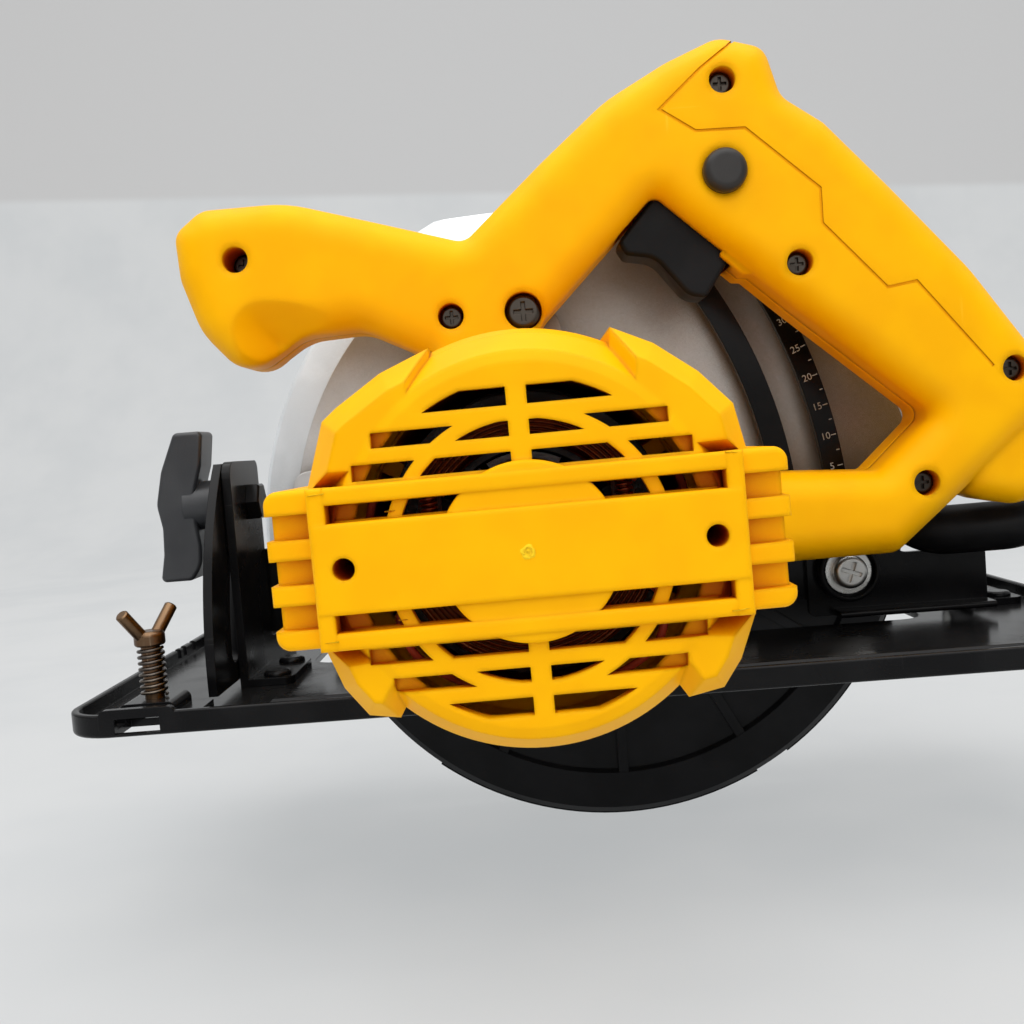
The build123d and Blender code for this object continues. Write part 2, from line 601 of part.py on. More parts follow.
def blade():
    """Disc with hooked tooth gullets, four relief slots and a carbide tip on each tooth."""
    pitch = 360 / tooth_count
    gullet_r = blade_r - 7.0
    tooth = ((-0.6, 0), (-2.0, 0.42), (-4.2, 0.60), (-7.0, 0.76), (-6.4, 0.93), (-3.6, 0.985))
    points = [polar(0, 0, blade_r + drop, (i + share) * pitch)
              for i in range(tooth_count) for drop, share in tooth]
    face = make_face(Polyline(*points, close=True))
    for i in range(4):
        turn = Rot(0, 0, 90 * i + pitch * 0.8)
        face -= turn * (Pos(gullet_r - 8, 0) * Rectangle(22, 1.0) + Pos(gullet_r - 19, 0) * Circle(1.8))
    plate = plate_y(Pos(0, arbor_z) * face, blade_y0, blade_y1)
    for i in range(tooth_count):
        x, z = polar(0, arbor_z, blade_r - 2.4, i * pitch + 0.5)
        tip = Box(4.6, kerf, 2.0)
        plate += Pos(x, blade_y, z) * Rot(0, -i * pitch, 0) * tip
    return plate - rod_y(0, arbor_z, arbor_r + press_fit, blade_y0 - 1, blade_y1 + 1)


guard_band = 12.5            # width of the slanted band round the guard, seen from the motor side
guard_shell = 3.6            # wall of the guard's rim
guard_top = 102.0            # height of the flat on top of the rim above the arbor
guard_roof = 2.6             # thickness of that flat
guard_open_r = 72.0          # the far wall is open inside this radius
guard_foot_x = 46.0          # half width of the wall below the rim
boss_r = 8.0


def upper_guard():
    """Cast cover over the top of the blade, with the front lug, the clamp boss and the chute's port."""
    inner_y, outer_y = case_y1 + guard_wall, guard_y1 - guard_wall
    profile = [(guard_hole_r, case_y1), (guard_r - guard_band, case_y1), (guard_r - 1.5, case_y1 + 8),
               (guard_r, case_y1 + 10.5), (guard_r, guard_y1 - 7), (guard_r - 5, guard_y1),
               (guard_open_r, guard_y1), (guard_open_r, outer_y), (guard_r - guard_shell - 4, outer_y),
               (guard_r - guard_shell, guard_y1 - 7), (guard_r - guard_shell, case_y1 + 11.5),
               (guard_r - guard_shell - 1.4, case_y1 + 9.6), (guard_r - guard_band - 1, inner_y),
               (guard_hole_r, inner_y)]
    guard = turned(profile, 0, arbor_z)
    far = guard_r + 20
    top_z = arbor_z + guard_top
    whole = turned([(0, case_y1)] + profile[1:6] + [(0, guard_y1)], 0, arbor_z)
    guard -= block(-far, far, case_y1 - 1, guard_y1 + 1, top_z, top_z + far)
    guard += whole & block(-far, far, case_y1, guard_y1, top_z - guard_roof, top_z)
    guard -= block(-far, far, inner_y + 0.01, guard_y1 + 1, arbor_z - far, guard_bottom_z)
    for side in (-1, 1):
        x0, x1 = sorted((side * guard_foot_x, side * far))
        guard -= block(x0, x1, case_y1 - 1, guard_y1 + 1, arbor_z - far, guard_bottom_z)
    guard -= block(-guard_foot_x - 1, guard_foot_x + 1, case_y1 - 1, guard_y1, arbor_z - far, arbor_z - 28)
    lug = Pos(depth_x, depth_z) * Circle(depth_eye_r) + outline(
        [(depth_x - depth_eye_r, depth_z), (depth_x - 4, 62), (-70, 66), (depth_x + 16, 40),
         (depth_x + depth_eye_r, depth_z)], [0, 5, 5, 8, 0])
    guard += plate_y(lug, lug_y0, inner_y)
    boss = rod_y(lock_bolt_x, lock_bolt_z, boss_r, guide_y1 + gap, case_y1 + 1)
    guard += boss - block(lock_bolt_x - 9, lock_bolt_x + 9, case_y1, case_y1 + 2, guard_bottom_z - 9,
                          guard_bottom_z)
    guard -= rod_y(depth_x, depth_z, depth_pin_r + run_fit, lug_y0 - 1, case_y1 + guard_wall + 1)
    guard -= rod_y(lock_bolt_x, lock_bolt_z, depth_bolt_r, guide_y1, case_y1 - 0.6)
    guard -= rod_y(chute_x, chute_z, chute_r - 0.3, case_y1 - 1, inner_y + 9)
    for x, z in case_screws:
        guard -= rod_y(x, z, case_screw_r + 2 * seat, case_y1 - 1, inner_y + 1)
        guard -= turned([(0, inner_y + 0.1), (4.3, inner_y + 0.1), (2.0, inner_y - 2.2), (0, inner_y - 2.2)],
                        x, z)
    return guard


def gear_case_screws():
    """Countersunk screws from the blade side into the gear case."""
    top = case_y1 + guard_wall
    low = case_y1 - 11.5
    profile = [(0, top - 0.1), (4.0, top - 0.1), (case_screw_r, top - 2.2), (case_screw_r, low), (0, low)]
    return [turned(profile, x, z) for x, z in case_screws]


lower_a0, lower_a1 = 196.0, 372.0
rib_angles = (-62.0, -90.0, -118.0, -146.0, -34.0, -6.0)
rim_band_r = lower_r - 14.5
far_ring_r, lever_r, lever_angle = 55.0, 60.5, 366.0


def lower_guard():
    """Swinging cover: near wall with ribs and pockets, rim, far wall and the hub on the gear case's nose."""
    wall_y = lower_y0 + 2.0
    inner_y = wall_y + lower_wall
    far_y = lower_y1 - lower_wall
    profile = [(hub_r + 2, wall_y), (rim_band_r, wall_y), (rim_band_r + 1.0, lower_y0),
               (lower_r - 2.0, lower_y0), (lower_r, lower_y0 + 2.0), (lower_r, lower_y1 - 2.0),
               (lower_r - 2.0, lower_y1), (far_ring_r, lower_y1), (far_ring_r, far_y),
               (lower_r - 2.4, far_y), (lower_r - 2.4, inner_y), (hub_r + 2, inner_y)]
    cover = turned(profile, 0, arbor_z)
    cover &= slice_of(0, arbor_z, 1, lower_r + 9, lower_a0, lower_a1, lower_y0 - 1, lower_y1 + 1)
    for a in rib_angles:
        rib = block(guard_hole_r, rim_band_r + 2, lower_y0 + 0.2, wall_y + 0.5, -1.6, 1.6)
        cover += Pos(0, 0, arbor_z) * Rot(0, -a, 0) * rib
    for a0, a1 in ((-128.0, -63.0), (-56.0, -20.0)):
        cover += slice_of(0, arbor_z, lower_r - 2.2, lower_r + 0.9, a0, a1, lower_y0 + 3, lower_y1 - 3)
    cover += tube_y(0, arbor_z, hub_r + 4.5, hub_r + 1, case_y1 + guard_wall - 1.2, inner_y)
    return cover - rod_y(0, arbor_z, hub_r + run_fit, case_y1, inner_y + 1)


def guard_lever():
    """Thumb lever on the lower guard's far wall."""
    x, z = polar(0, arbor_z, lever_r, lever_angle)
    lever = rod_y(x, z, 5.5, lower_y1, lower_y1 + 2.5) + rod_y(x, z, 3.2, lower_y1 + 2, lower_y1 + 15)
    knob = rod_y(x, z, 6.5, lower_y1 + 12, lower_y1 + 20)
    return lever + fillet(knob.edges().group_by(Axis.Y)[0] + knob.edges().group_by(Axis.Y)[-1], 2.5)


def guard_spring():
    length = 3.9
    coil = coil_spring(hub_r + 6.6, 0.6, length, 2.2)
    return Pos(0, case_y1 + 0.9 + length, arbor_z) * Rot(90, 0, 0) * coil


def dust_chute():
    """Bent tube from the guard's port to the rear, with a collar at its mouth."""
    route = FilletPolyline((chute_x, case_y1 + 1.2, chute_z), (chute_x, 17, 29.5), (120, 14, 30),
                           (156, 12, 36), radius=[11, 22])
    start = Plane(origin=route @ 0, z_dir=route % 0)
    tube = sweep(start * Circle(chute_r), path=route) - sweep(start * Circle(chute_r - 1.6), path=route)
    end = Plane(origin=route @ 1, z_dir=route % 1)
    collar = extrude(end * (Circle(chute_r + 1.4) - Circle(chute_r - 1.6)), amount=6)
    tube += collar
    return tube - block(chute_x - 30, chute_x + 30, case_y1, case_y1 + 20, 0, 80)


# ---- motor

rib_count = 6
cap_screw_places = [polar(motor_x, motor_z, cap_screw_r, cap_turn + a) for a in (180, 0)]
cap_screw_shank_r, cap_boss_r = 1.65, 4.6
cap_head_r, cap_head_y = 2.2, cap_y1 - 18.0        # the screw heads' seats, deep in the cap


def motor_housing():
    """Yellow field case: thin wall, ribs that hold the stator and a boss on each side for the cap."""
    inner_r = housing_r - housing_wall
    case = rod_y(motor_x, motor_z, housing_r, cap_y1, case_y0)
    for x, z in cap_screw_places:
        case += rod_y(x, z, cap_boss_r + 0.8, cap_y1, stator_y0 + 24)
    case -= rod_y(motor_x, motor_z, inner_r, cap_y1 - 1, case_y0 + 1)
    hold_r = stator_r + seat
    for i in range(rib_count):
        rib = block(hold_r, inner_r + 1, stator_y0, stator_y1, -2, 2)
        case += Pos(motor_x, 0, motor_z) * Rot(0, -30 - 360 / rib_count * i, 0) * rib
    for x, z in cap_screw_places:
        case += rod_y(x, z, cap_boss_r, cap_y1, stator_y0 + 24)
        case -= rod_y(x, z, cap_screw_shank_r + run_fit, cap_y1 - 1, stator_y0 + 22)
    case -= rod_y(motor_x, motor_z, hold_r, cap_y1 - 1, stator_y1)
    return case - rod_y(motor_x, motor_z, 15 + seat, case_y0 - 6, case_y0 + 1)


def stator():
    core = tube_y(motor_x, motor_z, stator_r, stator_bore, stator_y0, stator_y1)
    for a in (27, 135, 207, 315):
        core -= slice_of(motor_x, motor_z, stator_bore - 1, 30.3, a, a + 18, stator_y0 - 1, stator_y1 + 1)
    return core


def field_coils():
    """Upper and lower winding: two sides through the stator's slots and an arc at each end."""
    coils = []
    for a in (28, 208):
        coil = slice_of(motor_x, motor_z, 22.2, 31.5, a, a + 124, stator_y0 - 8, stator_y0 - 0.2)
        coil += slice_of(motor_x, motor_z, 22.2, 31.5, a, a + 124, stator_y1 + 0.2, stator_y1 + 6)
        coil = fillet(coil.edges().filter_by(GeomType.CIRCLE), 1.6)
        for start in (a, a + 108):
            coil += slice_of(motor_x, motor_z, 22.2, 30.1, start, start + 16, stator_y0 - 2, stator_y1 + 2)
        coils.append(coil)
    return coils


shaft_bore_r = shaft_r + press_fit


def armature_shaft():
    """Motor shaft with the pinion cut on its end."""
    shaft = rod_y(motor_x, motor_z, shaft_r, cap_bearing[2], cavity_y0 + 1)
    shaft = chamfer(shaft.edges().group_by(Axis.Y)[0], 0.5)
    phase = gear_line + 180
    face = Rot(0, 0, phase) * gear_face(pinion_teeth, gear_module, 0.16, 0)
    return shaft + plate_y(Pos(motor_x, motor_z) * face, cavity_y0 + 0.5, cavity_y1 - 0.5)


def armature_core():
    core = tube_y(motor_x, motor_z, core_r, shaft_bore_r, stator_y0 + 1, stator_y1 - 1)
    for i in range(12):
        slot = block(core_r - 6, core_r + 1, stator_y0, stator_y1, -0.9, 0.9)
        core -= Pos(motor_x, 0, motor_z) * Rot(0, 30 * i, 0) * slot
    return core


def armature_windings():
    ends = []
    for y0, y1 in ((stator_y0 - 9, stator_y0 + 0.9), (stator_y1 - 0.9, stator_y1 + 7)):
        ring = tube_y(motor_x, motor_z, core_r - 1.5, shaft_r + 0.1, y0, y1)
        outer = ring.edges().filter_by(GeomType.CIRCLE).sort_by(SortBy.RADIUS)[-2:]
        ends.append(fillet(outer, 3.4))
    return ends


def commutator():
    bars = tube_y(motor_x, motor_z, commutator_r, shaft_bore_r, commutator_y0, commutator_y1)
    bars += tube_y(motor_x, motor_z, commutator_r + 1.6, shaft_bore_r, commutator_y1 - 2.5, commutator_y1)
    for i in range(24):
        cut = block(commutator_r - 0.8, commutator_r + 2,
                    commutator_y0 - 1, commutator_y1 - 2.5, -0.25, 0.25)
        bars -= Pos(motor_x, 0, motor_z) * Rot(0, 15 * i, 0) * cut
    return bars


def fan():
    disc = tube_y(motor_x, motor_z, fan_r, shaft_bore_r, fan_y1 - 1.8, fan_y1)
    disc += tube_y(motor_x, motor_z, 9, shaft_bore_r, fan_y0, fan_y1)
    for i in range(13):
        vane = block(8, fan_r - 0.5, fan_y0, fan_y1 - 1, -0.8, 0.8)
        disc += Pos(motor_x, 0, motor_z) * Rot(0, 360 / 13 * i, 0) * vane
    return disc


brush_y = (commutator_y0 + commutator_y1) / 2
holder_inner, holder_outer = commutator_r + 1.2, cap_screw_r - cap_boss_r - gap
brush_half_z, brush_half_y = 3.2, 2.6
spring_dx, spring_z0, spring_z1 = 22.0, motor_z + 5.3, motor_z + 13.0


def mirrored(make):
    """One piece on each side of the motor shaft, in the same node."""
    return [make(-1), make(1)]


def side_block(side, dx0, dx1, y0, y1, z0, z1):
    x0, x1 = sorted((motor_x + side * dx0, motor_x + side * dx1))
    return block(x0, x1, y0, y1, z0, z1)


def brush_holder(side):
    wall = 2.0
    y0, y1 = brush_y - brush_half_y - wall, brush_y + brush_half_y + wall
    box = side_block(side, holder_inner, holder_outer, y0, y1,
                     motor_z - brush_half_z - wall, motor_z + brush_half_z + wall)
    box -= side_block(side, holder_inner - 1, holder_outer - 2, y0 + wall - seat, y1 - wall + seat,
                      motor_z - brush_half_z - seat, motor_z + brush_half_z + seat)
    post = side_block(side, spring_dx - 2.6, spring_dx + 2.6, brush_y + 2.4, brush_y + 4.4,
                      motor_z + brush_half_z + 1, spring_z1 + 1.5)
    cap = side_block(side, spring_dx - 2.6, spring_dx + 2.6, brush_y - 2.4, brush_y + 4.4,
                     spring_z1, spring_z1 + 1.5)
    return box + post + cap


def brush(side):
    carbon = side_block(side, commutator_r + 0.3, commutator_r + 13, brush_y - brush_half_y,
                        brush_y + brush_half_y, motor_z - brush_half_z, motor_z + brush_half_z)
    return carbon


def brush_spring(side):
    coil = coil_spring(1.7, 0.35, spring_z1 - spring_z0 - 0.1, 6)
    return Pos(motor_x + side * spring_dx, brush_y, spring_z0) * coil


# ---- end cap, drawn about the motor's axis: dx to the side, dz up

louvre_rows = [                # inner dz, outer dz, half width
    (9.6, 12.8, 40.3), (17.2, 20.5, 34.7), (23.6, 26.7, 30.2), (29.8, 33.6, 35.5)]
ring_in, ring_out = 27.0, 29.8
hub_face_r = 18.6
spoke_half = 2.1
lug_pocket_dz = (-9.8, -0.4, 9.0)
lug_pocket_half, lug_pocket_depth, lug_notch = 2.6, 3.2, 1.1
post_in, post_out = cap_screw_r + 2.8, cap_screw_r + 6.4
cap_pads = [                   # each pad's corners about the motor shaft, the last one inside the shell
    [(47.2, 15.0), (44.6, 26.8), (37.8, 34.0), (28.8, 40.6), (20.0, 44.6), (18, 14)],
    [(-46.2, 14.5), (-41.6, 29.6), (-38.2, 32.4), (-28.5, 38.8), (-18.0, 43.2), (-18, 14)],
    [(-45.4, -17.0), (-41.6, -27.0), (-36.8, -33.2), (-30.2, -34.2), (-18, -14)],
    [(46.8, -16.5), (42.8, -27.0), (38.8, -32.8), (31.2, -34.4), (18, -14)]]
pad_edge_y, pad_front_y, pad_lean = cap_y0 + 9.0, cap_y0 + 0.8, 30.0


def cap_hollow():
    """Room inside the cap, as a profile of radius and depth from the shaft outward."""
    inner_r = cap_r - cap_wall
    return [(0, cap_y0 + cap_wall), (inner_r - 6.5, cap_y0 + cap_wall), (inner_r - 1.5, cap_y0 + 10),
            (inner_r, cap_y0 + 15.5), (inner_r, cap_y1 - 6)]


def cap_shell():
    mouth_r = housing_r - housing_wall
    profile = [(0, cap_y0), (cap_r - 8.0, cap_y0), (cap_r - 5.6, cap_y0 + 0.9), (cap_r - 1.5, cap_y0 + 9),
               (cap_r, cap_y0 + 15), (cap_r, cap_y1), (mouth_r, cap_y1), (mouth_r, cap_y1 - 3)]
    return turned(profile + cap_hollow()[::-1], motor_x, motor_z + cap_rise)


def cap_corner_pads():
    """Four flat-sided swellings of the shell, eased toward the louvred face."""
    pads = Part()
    for corners in cap_pads:
        plan = outline(corners)
        pads += extrude(Plane.XZ.offset(-cap_y1) * plan, amount=cap_y1 - pad_edge_y)
        pads += extrude(Plane.XZ.offset(-pad_edge_y) * plan, amount=pad_edge_y - pad_front_y, taper=pad_lean)
    hollow = cap_hollow() + [(cap_r - cap_wall, cap_y1 + 1), (0, cap_y1 + 1)]
    return pads - turned(hollow, 0, cap_rise)


def cap_lugs():
    """Side grips with three pockets each, joined across the cap by the strap and two rails."""
    half, near = lug_half_height, cap_y0 + 2.5
    grip = plate_y(RectangleRounded(2 * lug_half_width, 2 * half, 3.0), near, cap_y1 - 4)
    grip -= plate_y(Circle(cap_r - 2), cap_y0, cap_y1)
    grip = fillet(grip.edges().group_by(Axis.Y)[0].filter_by(GeomType.LINE), 1.2)
    edge = lug_half_width + 1
    for dz in lug_pocket_dz:
        z0, z1 = dz - lug_pocket_half, dz + lug_pocket_half
        for side in (-1, 1):
            x0, x1 = sorted((side * post_out, side * edge))
            grip -= block(x0, x1, near - 1, near + lug_pocket_depth, z0, z1)
            x0, x1 = sorted((side * (lug_half_width - lug_notch), side * edge))
            grip -= block(x0, x1, near - 1, near + 22, z0, z1)
    return grip


def cap_face():
    """Strap, rails, side posts and the round hub, all standing on the louvred face."""
    reach = post_out - 0.3
    face = near_edge_eased(block(-reach, reach, strap_y, cap_y0 + 1, -9.3, 9.3), 0.7)
    for z0, z1 in ((13.0, lug_half_height), (-lug_half_height, -13.0)):
        face += near_edge_eased(block(-reach, reach, strap_y + 0.6, cap_y0 + 1, z0, z1), 0.7)
    for side in (-1, 1):
        x0, x1 = sorted((side * post_in, side * post_out))
        pad = block(x0, x1, strap_y + 0.3, cap_y0 + 3, -lug_half_height, lug_half_height)
        face += near_edge_eased(pad, 0.7)
    return face + near_edge_eased(plate_y(Circle(hub_face_r), strap_y + 1.2, cap_y0 + 1), 0.7)


def louvres():
    """The cutting bodies of all louvre slots."""
    cuts = Part()
    for dz0, dz1, half in louvre_rows:
        for z0, z1 in ((dz0, dz1), (-dz1, -dz0)):
            row = Pos(0, (z0 + z1) / 2) * Rectangle(2 * half, z1 - z0)
            row &= Circle(cap_r - 4.9)
            row -= Circle(ring_out) - Circle(ring_in)
            row -= Rectangle(2 * spoke_half, 2 * cap_r)
            row -= Circle(hub_face_r)
            if dz0 == louvre_rows[-1][0]:
                row &= Circle(half)
            cuts += plate_y(row, strap_y - 1, cap_y0 + cap_wall + 0.5)
    return cuts


def end_cap():
    cap = cap_shell()
    about_motor = Pos(motor_x, 0, motor_z)
    leaning = about_motor * Rot(0, -cap_turn, 0)
    cap += about_motor * cap_corner_pads()
    cap += leaning * cap_lugs()
    cap += leaning * cap_face()
    cap -= leaning * louvres()
    bearing_r, bearing_y1 = cap_bearing[0], cap_bearing[3]
    cap += tube_y(motor_x, motor_z, bearing_r + 3, bearing_r, cap_y0 + 1, bearing_y1)
    for x, z in cap_screw_places:
        cap += rod_y(x, z, cap_boss_r, cap_y0 + 1, cap_y1)
        cap -= rod_y(x, z, cap_head_r + seat, strap_y - 1, cap_head_y)
        cap -= rod_y(x, z, cap_screw_shank_r + 0.15, strap_y - 1, cap_y1 + 1)
    return cap


def cap_screws():
    """Long screws at the bottom of the cap's two deep holes."""
    length = 36.0
    return [facing_near(pan_screw(cap_head_r, 2.0, cap_screw_shank_r, length), x, cap_head_y + length, z)
            for x, z in cap_screw_places]


# ---- handle, drawn in the X-Z plane

handle_screws = {"front": (-100.0, 122.5), "neck": (-42.0, 102.5), "case": (-22.0, 102.5),
                 "top": (36.5, 160.0), "trigger": (54.5, 109.5), "rear": (111.5, 76.2),
                 "foot": (85.6, 46.5)}
loop = [(16.8, 132.4), (-19.5, 97), (-14, 78), (20, 58), (46, 52.3), (74.4, 50.6), (90.8, 65.7), (55, 97.2)]
loop_radii = [3, 10, 4, 4, 8, 2.5, 3.5, 30]
body_points = [(-118.2, 132.0), (-110, 138.2), (-86, 138.4), (-64, 131.8), (-37, 123.6), (-14, 143.6),
               (5, 159.0), (22, 167.8), (37, 173.6), (50, 169.8), (53.8, 156.2), (65, 148.2), (82, 129.3),
               (103, 105.0), (117.5, 84.0), (127, 67.5), (78.5, 26.9), (12, 26.2), (-12, 40), (-36, 58),
               (-50, 92.6), (-68, 101.8), (-85, 101.0), (-101.5, 90.6), (-113, 104.0), (-117.6, 119.0)]
body_radii = [5, 8, 40, 40, 5, 60, 40, 30, 9, 6, 7, 6, 60, 60, 30, 7, 6, 0, 0, 0, 3, 14, 14, 9, 20, 12]
tail_points = [(97, 50), (99.5, 42.0), (105, 39.8), (113, 38.0), (121, 39.8), (129, 47), (128.5, 66),
               (120, 78), (104, 66)]
tail_radii = [2, 3, 8, 8, 8, 8, 12, 6, 2]
tail_half, tail_round = 13.5, 7.0
shelf_points = [(-103, 111.2), (-90, 110.6), (-76, 107.4), (-62, 102.2), (-44, 94.5), (-44, 40), (-103, 40)]
shelf_radii = [9, 30, 30, 30, 0, 0, 0]
shelf_depth, shelf_lean = 9.0, 50.0           # the front grip's underside leans in from this line
rest_points = [(34, 114.5), (40.2, 108.6), (44.2, 108.2), (50, 104), (50, 112), (38, 119)]
rest_half = 10.0                              # stop under the trigger's rear end
seam_path = [(46, 176.5), (38.4, 168.9), (30.7, 163.4), (19.0, 153.4), (28.4, 146.9), (41.8, 146.6),
             (61.1, 129.0), (61.1, 119.5), (77.8, 100.8), (85.8, 101.9), (105.4, 77.2)]
seam_width, seam_depth = 0.8, 0.5
trigger_points = [(6.2, 120.6), (8.3, 116.8), (16.4, 115.4), (25.2, 104.0), (30.2, 103.2), (37.8, 113.8),
                  (43, 118), (36, 125), (25, 133), (17, 132.5)]
trigger_radii = [2, 2, 8, 6, 2, 3, 2.5, 3, 3, 2]
trigger_half = 7.0
pivot_x, pivot_z, pivot_r = 38.0, 119.2, 2.0
trigger_swing = 7.0
switch_x, switch_z, switch_lean = 56.0, 131.0, 45.0
switch_length, switch_height, switch_half = 26.0, 14.0, 9.0
lock_stem_r = 3.0
gland_x, gland_z, gland_r, gland_lean = 121.0, 50.0, 7.0, 128.0
gland_collar_r = gland_r + 1.5


def rounded_half(inset):
    """The near half of the handle's main form, rounded outside, shrunk by the inset on every side."""
    plan = outline(body_points, body_radii)
    if inset > 0:
        plan = offset(plan, -inset)
    half = plate_y(plan, -handle_half + inset, 0)
    return fillet(half.edges().group_by(Axis.Y)[0], handle_round - inset)


def handle_body():
    """The near half as a full solid, with the finger loop, the tail, the shelf and the grip's seam."""
    half = rounded_half(0) - plate_y(outline(loop, loop_radii), -handle_half - 1, 1)
    near_face = half.faces().sort_by(Axis.Y)[0]
    half = fillet(near_face.inner_wires()[0].edges(), loop_round)
    shelf = Plane.XZ.offset(handle_half) * outline(shelf_points, shelf_radii)
    half -= extrude(shelf, amount=-shelf_depth, taper=shelf_lean)
    half -= plate_y(trace(Polyline(*seam_path), seam_width), -handle_half - 1, 0) - rounded_half(seam_depth)
    tail = plate_y(outline(tail_points, tail_radii), -tail_half, 0)
    half += fillet(tail.edges().group_by(Axis.Y)[0], tail_round)
    rest = plate_y(outline(rest_points, 1.0), -rest_half, 0)
    return half + fillet(rest.edges().group_by(Axis.Y)[0], 0.9)


def handle_cavity():
    """Hollow of the near shell: the outline less its wall, with a pillar round every screw."""
    hollow = offset(outline(body_points, body_radii), -handle_wall)
    hollow -= offset(outline(loop, loop_radii), handle_wall + 2)
    hollow -= Pos(motor_x, motor_z) * Circle(housing_r + seat + handle_wall)
    hollow -= outline(shelf_points, shelf_radii)
    for x, z in handle_screws.values():
        hollow -= Pos(x, z) * Circle(6.5)
    return plate_y(hollow, -handle_half + handle_wall + 1.5, 1)


def trigger_room():
    """Space that the trigger sweeps, through the loop's wall and into the hollow."""
    room = plate_y(offset(outline(trigger_points, 1.5), 1.0), -trigger_half - gap, trigger_half + gap)
    pressed = Pos(pivot_x, 0, pivot_z) * Rot(0, trigger_swing + 1, 0) * Pos(-pivot_x, 0, -pivot_z) * room
    return room + pressed


front_head_y, head_y = -4.0, -handle_half + 6.0      # seats of the front screw and of the others
case_head_r, case_head_h, case_shank_r = 4.9, 3.2, 2.55
handle_head_r, handle_head_h = 3.3, 2.2


def gland_seat():
    """Room for the cord gland: its body and, further out, its collar."""
    collar = Pos(0, 0, 11.4) * Cylinder(gland_collar_r + seat, 10)
    return Pos(gland_x, 0, gland_z) * Rot(0, gland_lean, 0) * (Cylinder(gland_r + press_fit, 16) + collar)


def handle_shell(near):
    y0, y1 = (-handle_half, 0.0) if near else (0.0, handle_half)
    shell = handle_body() - handle_cavity()
    if not near:
        shell = mirror(shell, about=Plane.XZ)
    shell -= rod_y(motor_x, motor_z, housing_r + seat, y0 - 1, y1 + 1)
    if not near:
        shell -= plate_y(offset(case_outline(), seat), case_y0 - seat, y1 + 1)
    shell -= trigger_room()
    shell -= rod_y(pivot_x, pivot_z, pivot_r + run_fit, -trigger_half - 3, trigger_half + 3)
    for name, (x, z) in handle_screws.items():
        if near:
            large = name == "case"
            head_r = case_head_r if large else handle_head_r
            shank_r = case_shank_r if large else handle_screw_r
            shell -= rod_y(x, z, head_r + gap, y0 - 1, front_head_y if name == "front" else head_y)
            shell -= rod_y(x, z, shank_r + seat, y0 - 1, y1 + 1)
        elif name == "case":
            shell -= rod_y(x, z, case_shank_r + seat, y0 - 1, y1 + 1)
        else:
            shell -= rod_y(x, z, handle_screw_r + press_fit, y0 - 1, y1 - 4)
    if near:
        shell -= rod_y(lock_x, lock_z, lock_r + run_fit, y0 - 1, y1 + 1)
    return shell - gland_seat()


def handle_screw_set():
    """Pan screws in the counterbores; the large one goes on into the gear case."""
    screws = []
    for name, (x, z) in handle_screws.items():
        if name == "case":
            end = case_y1 - 4
            screw = pan_screw(case_head_r, case_head_h, case_shank_r, end - head_y)
        else:
            end = handle_half - 5
            start = front_head_y if name == "front" else head_y
            screw = pan_screw(handle_head_r, handle_head_h, handle_screw_r, end - start)
        screws.append(facing_near(screw, x, end, z))
    return screws


def trigger():
    lever = plate_y(outline(trigger_points, trigger_radii), -trigger_half, trigger_half)
    ends = lever.edges().group_by(Axis.Y)
    lever = fillet(ends[0] + ends[-1], 1.4)
    return lever + rod_y(pivot_x, pivot_z, pivot_r, -trigger_half - 2.6, trigger_half + 2.6)


def switch_body():
    box = Box(switch_length, 2 * switch_half, switch_height)
    box = fillet(box.edges().filter_by(Axis.Y), 1.5)
    return Pos(switch_x, 0, switch_z) * Rot(0, switch_lean, 0) * box


def lock_button():
    """Domed button in the near shell, with a stem behind it."""
    cap = rod_y(lock_x, lock_z, lock_r, -handle_half - 3.4, -handle_half + 5)
    cap = fillet(cap.edges().group_by(Axis.Y)[0], 2.2)
    return cap + rod_y(lock_x, lock_z, lock_stem_r, -handle_half + 4, -handle_half + 9)


def depth_bolt():
    """Clamp bolt: threaded into the guard's boss, out through the arc's slot to the lever."""
    shoulder = rod_y(lock_bolt_x, lock_bolt_z, guide_slot / 2 - gap, guide_y0, guide_y1 + gap)
    return shoulder + rod_y(lock_bolt_x, lock_bolt_z, depth_bolt_r, lever_y0 + 1.0, case_y1 - 1.0)


lever_y0 = 19.4
lever_tip_x, lever_tip_z = 44.0, 31.0


def depth_lever():
    """Clamp lever: a hub on the bolt and an arm that points to the front."""
    x, z = lock_bolt_x, lock_bolt_z
    hub = rod_y(x, z, 6.5, lever_y0, guide_y0 - gap)
    length = sqrt((lever_tip_x - x) ** 2 + (lever_tip_z - z) ** 2)
    angle = degrees(atan2(lever_tip_z - z, lever_tip_x - x))
    arm = Pos((x + lever_tip_x) / 2, (z + lever_tip_z) / 2) * Rot(0, 0, angle) * Rectangle(length, 8)
    shape = arm + Pos(lever_tip_x, lever_tip_z) * Circle(4.6) + Pos(x, z) * Circle(6.5)
    lever = hub + plate_y(shape, lever_y0, lever_y0 + 3)
    return lever - rod_y(x, z, depth_bolt_r + run_fit, lever_y0 + 0.8, guide_y0)


def cord_gland():
    """Socket in the tail where the lead would enter."""
    gland = Cylinder(gland_r, 12) + Pos(0, 0, 5) * Cylinder(gland_collar_r, 3)
    gland = chamfer(gland.edges().group_by(Axis.Z)[-1], 0.6)
    gland -= Cylinder(3.6, 30)
    return Pos(gland_x, 0, gland_z) * Rot(0, gland_lean, 0) * Pos(0, 0, 3) * gland


# ---- all nodes

